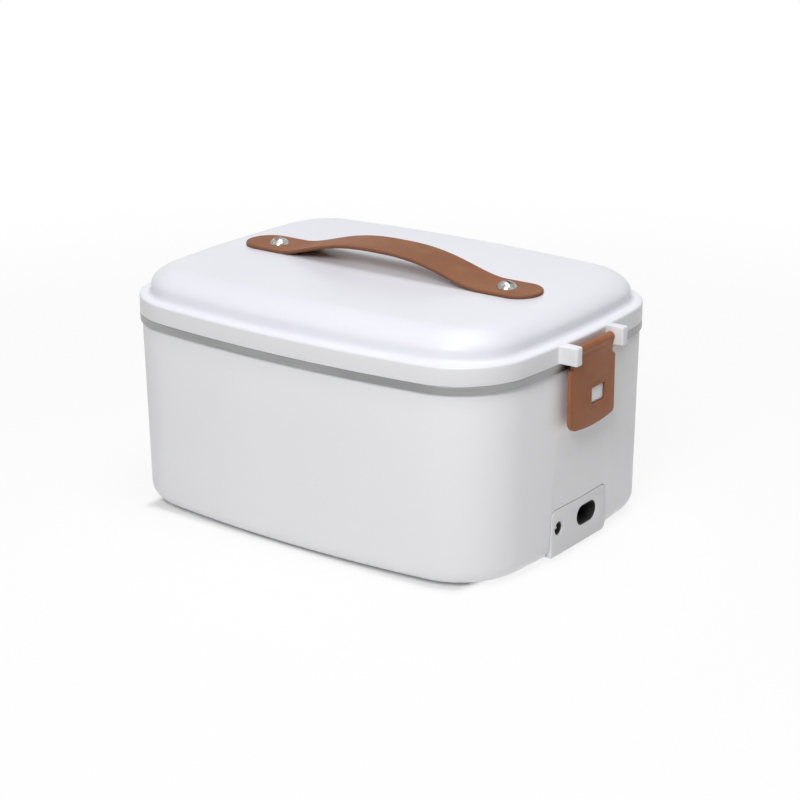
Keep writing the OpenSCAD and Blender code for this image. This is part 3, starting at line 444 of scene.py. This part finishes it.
# even cuts across a length that lies about the middle
def sliced(bm, axis, length, cells):
    for i in range(1, cells):
        bmesh.ops.bisect_plane(bm, geom=bm.verts[:] + bm.edges[:] + bm.faces[:], dist=1e-7,
                               plane_co=axis * length * (i / cells - 0.5), plane_no=axis)


# one vertex at each place, and whole faces where a flat is in triangles
def merged(bm):
    bmesh.ops.remove_doubles(bm, verts=bm.verts, dist=0.002 * mm)
    bmesh.ops.dissolve_limit(bm, angle_limit=math.radians(0.5), verts=bm.verts, edges=bm.edges)


def shadeByAngle(mesh, degrees):
    bm = bmesh.new()
    bm.from_mesh(mesh)
    for f in bm.faces:
        f.smooth = True
    for e in bm.edges:
        e.smooth = not e.is_manifold or e.calc_face_angle(0) < math.radians(degrees)
    bm.to_mesh(mesh)
    bm.free()


# a finished mesh as an object that rides its body in place of a node
def finishPiece(name, bm, body, material, node, angle=32, bevel=0):
    mesh = bpy.data.meshes.new(name)
    bm.to_mesh(mesh)
    bm.free()
    shadeByAngle(mesh, angle)
    piece = bpy.data.objects.new(name, mesh)
    bpy.context.collection.objects.link(piece)
    mesh.materials.append(material)
    if bevel:
        edge = piece.modifiers.new("Bevel", "BEVEL")
        edge.width, edge.segments = bevel, 2
        edge.limit_method, edge.angle_limit = "ANGLE", math.radians(40)
    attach(piece, body)
    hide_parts(node)


# cuts a shape out of a bmesh, or fuses it on, with an exact boolean
def carve(bm, tool, operation="DIFFERENCE"):
    meshes = [bpy.data.meshes.new("carved"), bpy.data.meshes.new("tool")]
    bm.to_mesh(meshes[0])
    tool.to_mesh(meshes[1])
    objects = [bpy.data.objects.new(m.name, m) for m in meshes]
    for o in objects:
        bpy.context.collection.objects.link(o)
    cut = objects[0].modifiers.new("Cut", "BOOLEAN")
    cut.operation, cut.solver, cut.object = operation, "EXACT", objects[1]
    dg = bpy.context.evaluated_depsgraph_get()
    done = bpy.data.meshes.new_from_object(objects[0].evaluated_get(dg))
    bm.clear()
    bm.from_mesh(done)
    tool.free()
    for o in objects:
        bpy.data.objects.remove(o)
    for m in meshes + [done]:
        bpy.data.meshes.remove(m)


# a flat plate drawn in X and Y about a middle, standing from low to high; corner is one radius for
# all, or four, turning from the corner at +X and +Y
def roundPlate(size, corner, low, high, segments=10, rim=0.0):
    bm = bmesh.new()
    bmesh.ops.create_grid(bm, x_segments=1, y_segments=1, size=0.5)
    bmesh.ops.scale(bm, vec=(size[0], size[1], 1), verts=bm.verts)
    bmesh.ops.translate(bm, vec=(0, 0, low), verts=bm.verts)
    radii = corner if isinstance(corner, tuple) else (corner,) * 4
    for v in bm.verts[:]:
        quarter = (0 if v.co.x > 0 else 1) if v.co.y > 0 else (3 if v.co.x > 0 else 2)
        if radii[quarter]:
            softened(bm, [v], radii[quarter], segments, "VERTICES")
    pulled(bm, (0, 0, high - low))
    if rim:
        softened(bm, [e for e in bm.edges if all(abs(v.co.z - high) < 1e-7 for v in e.verts)], rim, 3)
    return bm


# turns a piece drawn in X, Y and Z so that its X runs along Y and its Z along +X
def faceEnd(bm, middle):
    turned = Matrix(((0, 0, 1, 0), (1, 0, 0, 0), (0, 1, 0, 0), (0, 0, 0, 1)))
    bmesh.ops.transform(bm, matrix=Matrix.Translation(middle) @ turned, verts=bm.verts)
    return bm


# a round rod along Z about the middle
def rod(radius, length, segments):
    bm = bmesh.new()
    bmesh.ops.create_cone(bm, cap_ends=True, segments=segments, radius1=radius, radius2=radius, depth=length)
    return bm


# adds another shape's faces and frees it
def join(bm, other):
    mesh = bpy.data.meshes.new("joined")
    other.to_mesh(mesh)
    other.free()
    bm.from_mesh(mesh)
    bpy.data.meshes.remove(mesh)


# about the middle of the object, for the far end's copy
def halfTurned(bm):
    bmesh.ops.rotate(bm, cent=(0, 0, 0), matrix=Matrix.Rotation(math.pi, 3, "Z"), verts=bm.verts)
    return bm


# body shell
shellForm = {
    "rimInset": 1.0 * mm, "rimRound": 0.5 * mm, "lean": 1.4 * mm, "wall": 2.2 * mm, "wallSteps": 6,
    "baseRound": 9 * mm, "baseSteps": 10, "ledge": 3 * mm, "ledgeThick": 1.5 * mm,
    "ledgeFoot": (0.2 * mm, 8 * mm),  # in from the wall and down from the rim
    "opening": 16 * mm, "rise": (2 * mm, 0.6 * mm), "step": 3 * mm, "stepHigh": 4 * mm, "plate": 2 * mm,
}


# how far in the leaning wall stands at a height
def leanInset(z):
    s = shellForm
    return s["rimInset"] + s["lean"] * (shellHigh.z - z) / (shellHigh.z - shellLow.z)


def makeShell(s):
    low, high, wall, opening = shellLow.z, shellHigh.z, s["wall"], s["opening"]
    r, rim, root = s["baseRound"], s["rimRound"], s["rimInset"] + wall
    skin = [(opening, low)] + sweep(leanInset(low + r) + r, low + r, r, 270, 180, s["baseSteps"])
    for i in range(1, s["wallSteps"]):
        z = low + r + (high - low - r) * i / s["wallSteps"]
        skin.append((leanInset(z), z))
    lip = sweep(s["rimInset"] + rim, high - rim, rim, 180, 90, 3)
    shelf, (lean, drop) = root + s["ledge"], s["ledgeFoot"]
    ledge = [(root, high - 0.01 * mm), (root, high - wall), (shelf, high - wall),
             (shelf, high - wall - s["ledgeThick"]), (root + lean, high - drop)]
    inside = besideSection(skin, wall)[1:]
    floor = [(opening - s["rise"][0], low + wall), (opening - s["rise"][1], low + s["stepHigh"]),
             (opening + s["step"], low + s["stepHigh"]), (opening + s["step"], low + s["plate"]),
             (opening, low + s["plate"])]
    return mouldRound(skin + lip + ledge + inside[::-1] + floor, closed=True)


# a plate lying in X and Z, drawn as a closed loop, pulled out along Y both ways
def pulledProfile(points, width):
    bm = bmesh.new()
    verts = [bm.verts.new((x, -width / 2, z)) for x, z in points]
    bm.faces.new(verts)
    pulled(bm, (0, width, 0))
    return bm


# rounds the edges that a test picks
def roundEdges(bm, size, picks):
    merged(bm)
    softened(bm, [e for e in bm.edges if e.is_manifold and picks(e)], size, 3, clamp=True)
    return bm


def sharp(edge, degrees=40):
    return edge.calc_face_angle(0) > math.radians(degrees)


# the catch nub that a latch's window drops over
nubForm = {
    "gapSide": 0.7 * mm, "low": 75.7 * mm, "high": 83.0 * mm, "reach": 118.0 * mm, "round": 0.55 * mm,
    "slope": (4.5 * mm, 3 * mm), "window": (12.2 * mm, 8.6 * mm), "windowY": 5.4 * mm, "windowZ": 79.2 * mm,
}


def makeNub(n):
    root = potHigh.x - leanInset(n["low"]) - shellForm["wall"] / 2
    low, high, reach, (back, down) = n["low"], n["high"], n["reach"], n["slope"]
    side = [(root, low - down), (reach - back, low), (reach, low), (reach, high), (root, high)]
    bm = pulledProfile(side, n["window"][0] - 2 * n["gapSide"])
    bmesh.ops.translate(bm, vec=(0, n["windowY"], 0), verts=bm.verts)
    return roundEdges(bm, n["round"], lambda e: sharp(e) and max(v.co.x for v in e.verts) > root + mm)


# the panel's outline, with one square corner, grown by a gap
panelForm = {
    "width": 48.5 * mm, "high": 23.4 * mm, "middle": 0.5 * mm, "corner": 4 * mm, "square": 0.5 * mm,
    "gap": 0.5 * mm, "notchEdge": 0.5 * mm, "inlet": (17.6 * mm, 10.5 * mm), "inletY": 7.4 * mm,
    "jackY": -17.4 * mm, "jackRadius": 3.5 * mm, "plate": 3.2 * mm, "wall": 1.6 * mm,
    "socketLift": 13.5 * mm, "edge": 0.35 * mm, "notchDeep": 15.4 * mm,
}


def panelBlock(p, grow, back, front):
    r = p["corner"] + grow
    bm = roundPlate((p["width"] + 2 * grow, p["high"] + 2 * grow), (r, r, p["square"], r), back, front)
    return faceEnd(bm, (0, p["middle"], panelLow.z + p["high"] / 2))


def makeBodyShell(p):
    bm = makeShell(shellForm)
    carve(bm, panelBlock(p, p["gap"], potHigh.x - p["notchDeep"], potHigh.x + mm))
    skin = potHigh.x - leanInset(panelLow.z) - shellForm["baseRound"]
    away = p["gap"] + 0.02 * mm
    reach, crown = p["width"] / 2 + away, panelLow.z + p["high"] + away
    roundEdges(bm, p["notchEdge"], lambda e: sharp(e) and all(
        v.co.x > skin and abs(v.co.y - p["middle"]) < reach and v.co.z < crown for v in e.verts)
        and any(f.normal.x > 0.5 for f in e.link_faces))
    for turned in (False, True):
        nub = makeNub(nubForm)
        join(bm, halfTurned(nub) if turned else nub)
    bmesh.ops.remove_doubles(bm, verts=bm.verts, dist=0.002 * mm)
    finishPiece("bodyShell", bm, "root", shellWhite, "outer_shell")


makeBodyShell(panelForm)
print("body shell")

# the well that the pot hangs in
wellForm = {
    "rim": 3.45 * mm, "mouth": 9.8 * mm, "mouthRound": 1.5 * mm, "draft": 2.2 * mm, "wall": 2.2 * mm,
    "floorRound": 12 * mm, "floorOverPlate": 3 * mm, "opening": (142.5 * mm, 96.5 * mm),
    "openingCorner": 20.25 * mm, "boss": (52 * mm, 54 * mm), "bossRadius": 4.5 * mm, "bossLow": 6.1 * mm,
}


def makeWell(w):
    high, floor = tubHigh.z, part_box("heating_plate")[0].z + w["floorOverPlate"]
    mouth, r, wall = w["mouthRound"], w["floorRound"], w["wall"]
    rim, side = [(w["rim"], high)], sweep(w["mouth"] + w["draft"] + r, floor + r, r, 180, 270, 10)
    path = rim + sweep(w["mouth"] - mouth, high - mouth, mouth, 90, 0, 5) + side
    outside = besideSection(rim + [(w["mouth"], high)] + side, wall)
    bm = mouldRound(outside[::-1] + path, closed=False)
    carve(bm, roundPlate(w["opening"], w["openingCorner"], floor - 4 * mm, floor + mm, segments=14))
    top, (bossX, bossY) = floor - wall, w["boss"]
    for x in (-bossX, bossX):
        for y in (-bossY, bossY):
            boss = rod(w["bossRadius"], top - w["bossLow"], 36)
            bmesh.ops.translate(boss, vec=(x, y, (top + w["bossLow"]) / 2), verts=boss.verts)
            join(bm, boss)
    finishPiece("wellTub", bm, "root", wellWhite, "inner_tub")


makeWell(wellForm)

# the pot: its rolled skirt is the steel band
potForm = {
    "bandLow": 96.1 * mm, "skirtRoll": 0.2 * mm, "mouth": 11.5 * mm, "mouthRoll": 2 * mm, "draft": 2.2 * mm,
    "floorRound": 14 * mm, "wall": 0.7 * mm,
}


def makePot(p):
    low, high, floor = p["bandLow"], potHigh.z, potLow.z + p["wall"]
    roll, mouth, r = p["skirtRoll"], p["mouthRoll"], p["floorRound"]
    path = [(0, low)] + sweep(roll, high - roll, roll, 180, 90, 6)
    path += sweep(p["mouth"] - mouth, high - mouth, mouth, 90, 0, 6)
    path += sweep(p["mouth"] + p["draft"] + r, floor + r, r, 180, 270, 12)
    bm = mouldRound(besideSection(path, p["wall"])[::-1] + path, closed=False)
    finishPiece("innerPot", bm, "pot", bandSteel, "inner_pot", angle=50)


makePot(potForm)
print("well and pot")

# lid: lip, flat border, foot fillet and dome shoulder, with two ears at each end
lidForm = {
    "lipRound": 1.1 * mm, "lipEdge": 0.12 * mm, "border": 109.1 * mm, "wall": 2.2 * mm, "fillet": 2.6 * mm,
    "foot": 6 * mm, "footGap": 0.1 * mm, "domeInset": 21.5 * mm, "crown": 2 * mm, "power": 1.75,
    "shoulderRise": 4.9 * mm, "shoulderSteps": 20, "earY": (17.5 * mm, 22.7 * mm), "earLow": 0.1 * mm,
    "earRoot": 1.5 * mm, "earSkin": 0.75 * mm, "earFlank": 3.23 * mm, "earCorner": 1.3 * mm,
    "earEdge": 0.7 * mm, "earFillet": 1.9 * mm,
}


# a point on the dome's shoulder, a quarter of a superellipse
def shoulderPoint(f, degrees):
    a, power = math.radians(degrees), 2 / f["power"]
    reach, rise = f["domeInset"] - f["foot"] - f["footGap"], lidHigh.z - f["border"] - f["shoulderRise"]
    inset = f["domeInset"] - reach * max(math.cos(a), 0) ** power
    return (inset, lidHigh.z - rise + rise * math.sin(a) ** power)


def makeEar(f):
    (inner, outer), low = f["earY"], lidLow.z + f["earLow"]
    root, skin, tip = potHigh.x - f["earRoot"], potHigh.x - f["earSkin"], lidHigh.x
    flank = outer + f["earFlank"]
    bm = bmesh.new()
    outline = [(root, inner), (tip, inner), (tip, outer), (skin, outer), (skin, flank), (root, flank)]
    verts = [bm.verts.new((x, y, low)) for x, y in outline]
    bm.faces.new(verts)
    softened(bm, verts[1:3], f["earCorner"], 8, "VERTICES")
    softened(bm, verts[3:4], f["earFillet"], 8, "VERTICES")
    pulled(bm, (0, 0, f["border"] - 0.01 * mm - low))
    edges = [e for e in bm.edges if abs(e.verts[0].co.z - e.verts[1].co.z) < 1e-6
             and min(v.co.x for v in e.verts) > root + 0.1 * mm]
    softened(bm, edges, f["earEdge"], 4, clamp=True)
    return bm


def makeLid(f):
    low, border, top = lidLow.z, f["border"], lidHigh.z
    lip, edge, fillet, steps = f["lipRound"], f["lipEdge"], f["fillet"], f["shoulderSteps"]
    rise = sweep(f["foot"] - fillet, border + fillet, fillet, 270, 360, 8)
    rise += [shoulderPoint(f, 90 * i / steps) for i in range(steps + 1)]
    rise.append((f["domeInset"] + f["crown"], top))
    outer = [(edge, low), (0.3 * edge, low + 0.3 * edge), (0, low + edge)]
    outer += sweep(lip, border - lip, lip, 180, 90, 6) + rise
    inner = besideSection([(0, low), (0, border)] + rise, f["wall"])
    bm = mouldRound(inner[::-1] + outer, closed=False)
    for turned in (False, True):
        for mirrored in (False, True):
            ear = makeEar(f)
            if mirrored:
                bmesh.ops.scale(ear, vec=(1, -1, 1), verts=ear.verts)
                bmesh.ops.reverse_faces(ear, faces=ear.faces)
            join(bm, halfTurned(ear) if turned else ear)
    finishPiece("lidShell", bm, "lid", lidWhite, "lid_shell")


makeLid(lidForm)

# under the lid: liner tray and lip seal
linerForm = {
    "edge": 4.4 * mm, "step": 12.6 * mm, "draft": 0.6 * mm, "tray": 4 * mm, "wall": 1.8 * mm,
    "round": 0.6 * mm,
}


def makeLiner(f):
    high, deep, step = linerHigh.z, linerLow.z + f["wall"], f["step"]
    path = [(f["edge"], high), (step, high), (step + f["draft"], deep), (step + f["tray"], deep)]
    bm = mouldRound(besideSection(path, f["wall"])[::-1] + path, closed=False)
    roundEdges(bm, f["round"], lambda e: sharp(e, 30))
    finishPiece("lidLiner", bm, "lid", wellWhite, "lid_liner")


gasketForm = {
    "outer": 5.6 * mm, "inner": 10.3 * mm, "lip": 1.1 * mm, "groove": (10.15 * mm, 1.6 * mm),
    "round": 0.35 * mm,
}


def makeGasket(f):
    outer, inner, lip, (middle, deep) = f["outer"], f["inner"], f["lip"], f["groove"]
    top, low = gasketHigh.z, gasketLow.z
    bm = mouldRound([(outer, top), (inner, top), (inner, low), (inner - lip, low), (middle, top - deep),
                     (outer + lip, low), (outer, low)], closed=True)
    roundEdges(bm, f["round"], lambda e: sharp(e, 30))
    finishPiece("lidGasket", bm, "lid", gasketSilicone, "lid_gasket")


makeLiner(linerForm)
makeGasket(gasketForm)
print("lid")

# strap: a thick band, arched between the studs and pressed in round them
strapForm = {
    "wide": 24.2 * mm, "flatX": 62 * mm, "fullness": 2.65, "rise": 9.9 * mm, "thick": 1.8 * mm,
    "edge": 0.55 * mm, "cells": (118, 15), "dimple": 0.45 * mm, "dimpleRadius": 6.5 * mm, "studX": 70 * mm,
    "seal": (0.07, 0.5),  # how steep the rim is where its dark seal begins, and the span to full
    "sealFade": (0.25, 0.4, 0.75),  # the dark side is darker towards the bottom: share of the thickness where it fades, the span, by how much
}


# 0 below low, 1 from low + span
def share(value, low, span):
    return min(max((value - low) / span, 0), 1)


def strapLift(x):
    u = min(abs(x) / strapForm["flatX"], 1)
    return strapForm["rise"] * (1 - u ** strapForm["fullness"]) ** 2


def makeStrap(s):
    long, wide, thick = strapHigh.x * 2, s["wide"], s["thick"]
    bm = roundPlate((long, wide), wide / 2 * 0.995, 0, thick, segments=20)
    softened(bm, [e for e in bm.edges if abs(e.verts[0].co.z - e.verts[1].co.z) < 1e-7], s["edge"], 4)
    sliced(bm, Vector((1, 0, 0)), long, s["cells"][0])
    sliced(bm, Vector((0, 1, 0)), wide, s["cells"][1])
    bmesh.ops.remove_doubles(bm, verts=bm.verts, dist=0.01 * mm)
    bm.normal_update()
    sealed = bm.verts.layers.float.new("sealedEdge")
    fadeLow, fadeSpan, fade = s["sealFade"]
    for v in bm.verts:
        high = v.co.z / thick
        v[sealed] = share(1 - abs(v.normal.z), *s["seal"]) * (1 - fade * share(high, fadeLow, fadeSpan))
        away = math.hypot(abs(v.co.x) - s["studX"], v.co.y) / s["dimpleRadius"]
        v.co.z += strapLow.z + strapLift(v.co.x) - s["dimple"] * math.exp(-(away ** 4)) * high
    finishPiece("handleStrap", bm, "lid", strapLeather, "handle_strap", angle=60)


makeStrap(strapForm)

# studs: domed slotted heads on shanks
studForm = {
    "shank": 2 * mm, "shankEdge": 0.4 * mm, "rim": 0.5 * mm, "rimEdge": 0.15 * mm, "domeSteps": 12,
    "turnSteps": 56, "slotWide": 1.1 * mm, "slotDeep": 0.9 * mm, "edge": 0.12 * mm,
    "turns": {"left": 52, "right": -24},  # which way each slot came to rest, in degrees
}


def makeStud(side, f):
    low, high, r = studLow.z, studHigh.z, (studHigh.x - studLow.x) / 2
    seat = strapHigh.z - strapForm["rise"] - strapForm["dimple"]
    rise = high - seat - f["rim"]
    ball = (r * r + rise * rise) / (2 * rise)
    dome = sweep(0, high - ball, ball, 90 - math.degrees(math.asin(r / ball)), 90, f["domeSteps"])
    shank, foot, rim = f["shank"], f["shankEdge"], f["rimEdge"]
    points = [(0, low), (shank - foot, low), (shank, low + foot), (shank, seat), (r - rim, seat),
              (r, seat + rim)] + dome[1:-1] + [(0, high)]
    bm = bmesh.new()
    verts = [bm.verts.new((x, 0, z)) for x, z in points]
    edges = [bm.edges.new(pair) for pair in zip(verts, verts[1:])]
    bmesh.ops.spin(bm, geom=verts + edges, cent=(0, 0, 0), axis=(0, 0, 1), angle=2 * math.pi,
                   steps=f["turnSteps"], use_merge=True)
    bmesh.ops.remove_doubles(bm, verts=bm.verts, dist=0.005 * mm)
    bmesh.ops.recalc_face_normals(bm, faces=bm.faces)
    carve(bm, roundPlate((3 * r, f["slotWide"]), 0, high - f["slotDeep"], high + mm))
    turn = Matrix.Rotation(math.radians(f["turns"][side]), 3, "Z")
    bmesh.ops.rotate(bm, cent=(0, 0, 0), matrix=turn, verts=bm.verts)
    x = strapForm["studX"] * (1 if side == "right" else -1)
    bmesh.ops.translate(bm, vec=(x, 0, 0), verts=bm.verts)
    finishPiece("handleStud" + side.title(), bm, "lid", studMetal, "handle_stud_" + side,
                bevel=f["edge"])


for side in ("left", "right"):
    makeStud(side, studForm)
print("strap and studs")

# latch: a bowed plate with a window in a raised frame, hung from a barrel between the ears
latchForm = {
    "barrel": 2.3 * mm, "neckWide": 34.4 * mm, "front": 1.4 * mm, "back": -0.5 * mm, "blend": 3 * mm,
    "overlap": 3 * mm, "bore": 1.05 * mm, "boreKeep": 1.3 * mm, "shoulderDrop": 7.9 * mm, "bow": 2 * mm,
    "bowCells": 16, "corners": (2 * mm, 2 * mm, 5 * mm, 2 * mm), "edge": 0.3 * mm, "windowCorner": 0.5 * mm,
    "frameBorder": 1.9 * mm, "frameLine": 0.8 * mm, "frameRise": 0.15 * mm, "frameSink": 0.2 * mm,
    "frameCorners": (2 * mm, 1.2 * mm), "frameEdge": 0.25 * mm,
}


def latchPlate(f, span, low, high, back, front):
    bm = roundPlate((span, high - low), f["corners"], back, front, segments=12)
    sliced(bm, Vector((1, 0, 0)), span, f["bowCells"])
    for v in bm.verts:
        if v.co.y < 0:
            v.co.y += f["bow"] * (2 * v.co.x / span) ** 2
    return faceEnd(bm, (0, 0, (low + high) / 2))


def latchBarrel(f, hx, hz, low, back, front):
    away, near = front + f["blend"] - hx, f["barrel"] + f["blend"]
    drop = math.sqrt(near * near - away * away)
    meet = math.degrees(math.asin(drop / near))
    blend = sweep(hx + away, hz - drop, f["blend"], 180, 180 - meet, 5)
    under = 360 - math.degrees(math.acos((back - hx) / f["barrel"]))
    barrel = sweep(hx, hz, f["barrel"], -meet, under, 34)[1:]
    return pulledProfile([(back, low), (front, low)] + blend + barrel, f["neckWide"])


# the window's shape, grown by a border
def windowPlate(grow, corner, low, high, segments=10, rim=0.0):
    wide, tall = nubForm["window"]
    return roundPlate((wide + 2 * grow, tall + 2 * grow), corner, low, high, segments, rim)


def makeLatch(side, f):
    hx, hz = hinge.x, hinge.z
    span, low, high = latchHigh.y - latchLow.y, latchLow.z, hz - f["shoulderDrop"]
    front, back = hx + f["front"], hx + f["back"]
    bm = latchPlate(f, span, low, high, back, front)
    carve(bm, latchBarrel(f, hx, hz, high - f["overlap"], back, front), "UNION")
    spot = (0, nubForm["windowY"], nubForm["windowZ"])
    carve(bm, faceEnd(windowPlate(0, f["windowCorner"], back - mm, front + mm, segments=4), spot))
    bore = rod(f["bore"], 2 * span, 32)
    bmesh.ops.rotate(bore, cent=(0, 0, 0), matrix=Matrix.Rotation(math.pi / 2, 3, "X"), verts=bore.verts)
    bmesh.ops.translate(bore, vec=(hx, 0, hz), verts=bore.verts)
    carve(bm, bore)
    roundEdges(bm, f["edge"], lambda e: sharp(e) and all(
        math.hypot(v.co.x - hx, v.co.z - hz) > f["boreKeep"] for v in e.verts))
    border, (outer, inner) = f["frameBorder"], f["frameCorners"]
    ridge = windowPlate(border, outer, front - f["frameSink"], front + f["frameRise"], rim=f["frameEdge"])
    carve(ridge, windowPlate(border - f["frameLine"], inner, front - mm, front + mm))
    join(bm, faceEnd(ridge, spot))
    if side == "left":
        halfTurned(bm)
    name = "latch_" + side
    finishPiece("latch" + side.title(), bm, name, latchBrown, name)


for side in ("left", "right"):
    makeLatch(side, latchForm)
print("latches")


# socket panel: an open-backed tray with two openings
def makePanel(p):
    back, face, z = panelLow.x, panelHigh.x, panelLow.z + p["socketLift"]
    bm = panelBlock(p, 0, back, face)
    carve(bm, panelBlock(p, -p["wall"], back - mm, face - p["plate"]))
    jack = p["jackRadius"]
    for size, corner, y in ((p["inlet"], p["inlet"][1] / 2 - 0.01 * mm, p["inletY"]),
                            ((2 * jack, 2 * jack), jack * 0.998, p["jackY"])):
        carve(bm, faceEnd(roundPlate(size, corner, face - 5 * mm, face + mm, segments=16), (0, y, z)))
    roundEdges(bm, p["edge"], lambda e: sharp(e) and all(v.co.x > face - 0.01 * mm for v in e.verts))
    finishPiece("socketPanel", bm, "root", panelGrey, "socket_panel")


makePanel(panelForm)


# small pieces keep the frame's own solids: merged copies with their edges broken
def dressNode(node, material, edge):
    bm = bmesh.new()
    bm.from_mesh(frame["nodes"][node].data)
    merged(bm)
    name = node[0] + node.title().replace("_", "")[1:]
    finishPiece(name, bm, body_of(frame["nodes"][node])[0], material, node, bevel=edge)


# node: material, slot, width of a broken edge
smallPieces = {
    "base_plate": (baseGrey, "base_plastic", 0.25 * mm),
    "rubber_feet": (footRubber, "foot_rubber", 0.3 * mm),
    "base_screws": (fastenerSteel, "screw_steel", 0.1 * mm),
    "heating_plate": (castAluminium, "heater_aluminium", 0.3 * mm),
    "ptc_heaters": (heaterCeramic, "heater_ceramic", 0.15 * mm),
    "heater_clamps": (fastenerSteel, "clamp_steel", 0.1 * mm),
    "heater_screws": (fastenerSteel, "screw_steel", 0.08 * mm),
    "thermostat": (phenolicBrown, "phenolic", 0.15 * mm),
    "thermal_fuse": (heaterCeramic, "heater_ceramic", 0),
    "fuse_clip": (fastenerSteel, "clamp_steel", 0),
    "insulation_pad": (matFibre, "mat_fibre", 0.5 * mm),
    "lead_wires": (wireSleeve, "wire_sleeve", 0),
    "ac_inlet": (socketBlack, "socket_black", 0.2 * mm),
    "ac_pins": (brassContact, "contact_metal", 0.1 * mm),
    "inlet_screws": (fastenerSteel, "screw_steel", 0.05 * mm),
    "dc_jack": (socketBlack, "socket_black", 0.2 * mm),
    "dc_pin": (brassContact, "contact_metal", 0.08 * mm),
    "liner_screws": (fastenerSteel, "screw_steel", 0.08 * mm),
    "stud_washers": (fastenerSteel, "clamp_steel", 0.08 * mm),
    "stud_nuts": (fastenerSteel, "clamp_steel", 0.1 * mm),
    "latch_pin_left": (fastenerSteel, "screw_steel", 0.15 * mm),
    "latch_pin_right": (fastenerSteel, "screw_steel", 0.15 * mm),
}
for node, (material, slotName, edge) in smallPieces.items():
    dressNode(node, material, edge)
print("small pieces")

# floor, backdrop light and lamps
studio = {
    "ambient": 0.02, "floorSize": 12.0, "floorShow": (0.86, 0.3, 0.7),  # share near, from and to
    "footprint": ((0.092, 0.077, 1), 0.007, 0.1),  # half size under the body, blend, share there
    "lamps": {  # name: azimuth, elevation, distance, size, watts
        "key": (22, 40, 1.8, 0.8, 15.9),
        "upper": (20, 62, 1.8, 0.8, 3.2),
        "overhead": (0, 88, 1.8, 0.8, 1.4),
        "end": (80, 75, 1.8, 0.8, 9.3),
        "back": (200, 70, 1.8, 0.9, 5.1),
    },
}


# 1 for the rays that see the backdrop rather than carry its light
def backdropRays(start):
    rays = [start.node("LightPath", {}, output=n) for n in (0, 3, 6)]
    return (rays[0] + rays[1] + rays[2]).clamped()


def makeFloor(s):
    bm = bmesh.new()
    bmesh.ops.create_grid(bm, x_segments=1, y_segments=1, size=s["floorSize"] / 2)
    mesh = bpy.data.meshes.new("floor")
    bm.to_mesh(mesh)
    bm.free()
    floor = bpy.data.objects.new("floor", mesh)
    bpy.context.collection.objects.link(floor)
    material, shader, start, place = newMaterial(
        "paleFloor", {"Base Color": paint(252, 252, 252), "Roughness": 0.9})
    mesh.materials.append(material)

    def vectors(operation, first, second=(0, 0, 0), output=0):
        return start.node("VectorMath", {0: first, 1: second}, {"operation": operation}, output)

    near, begin, end = s["floorShow"]
    half, blend, under = s["footprint"]
    away = vectors("LENGTH", place, output=1)
    past = vectors("SUBTRACT", vectors("ABSOLUTE", place), half)
    outside = vectors("LENGTH", vectors("MAXIMUM", past), output=1)
    shown = away.ramp(begin, end) * (1 - near) + outside.ramp(0.0, blend) * (near - under) + under
    lit = Wire(start.tree, shader.outputs[0])
    glow = start.node("Emission", {"Color": (1, 1, 1, 1), "Strength": 1.0})
    mixed = start.node("MixShader", {0: backdropRays(start) * shown, 1: lit, 2: glow})
    feed(start.tree.nodes["Material Output"], "Surface", mixed)


def makeWorld(s):
    world = bpy.data.worlds.new("studio")
    bpy.context.scene.world = world
    world.use_nodes = True
    tree = world.node_tree
    start, ambient = Wire(tree), tree.nodes["Background"]
    ambient.inputs["Color"].default_value = (1, 1, 1, 1)
    ambient.inputs["Strength"].default_value = s["ambient"]
    seen = start.node("Background", {"Color": (1, 1, 1, 1), "Strength": 1.0})
    lit = Wire(tree, ambient.outputs[0])
    mixed = start.node("MixShader", {0: backdropRays(start), 1: lit, 2: seen})
    feed(tree.nodes["World Output"], "Surface", mixed)


def makeLamps(s):
    middle = (cadBox[0] + cadBox[1]) / 2
    for name, (azimuth, elevation, distance, size, watts) in s["lamps"].items():
        back = wayTo(azimuth, elevation)
        data = bpy.data.lights.new(name, "AREA")
        data.shape, data.size, data.energy = "DISK", size, watts
        lamp = bpy.data.objects.new(name, data)
        facing = back.to_track_quat("Z", "Y").to_matrix().to_4x4()
        lamp.matrix_world = Matrix.Translation(middle + back * distance) @ facing
        bpy.context.collection.objects.link(lamp)


makeFloor(studio)
makeWorld(studio)
makeLamps(studio)
bpy.context.scene.view_settings.view_transform = "Standard"
print("floor and lamps")
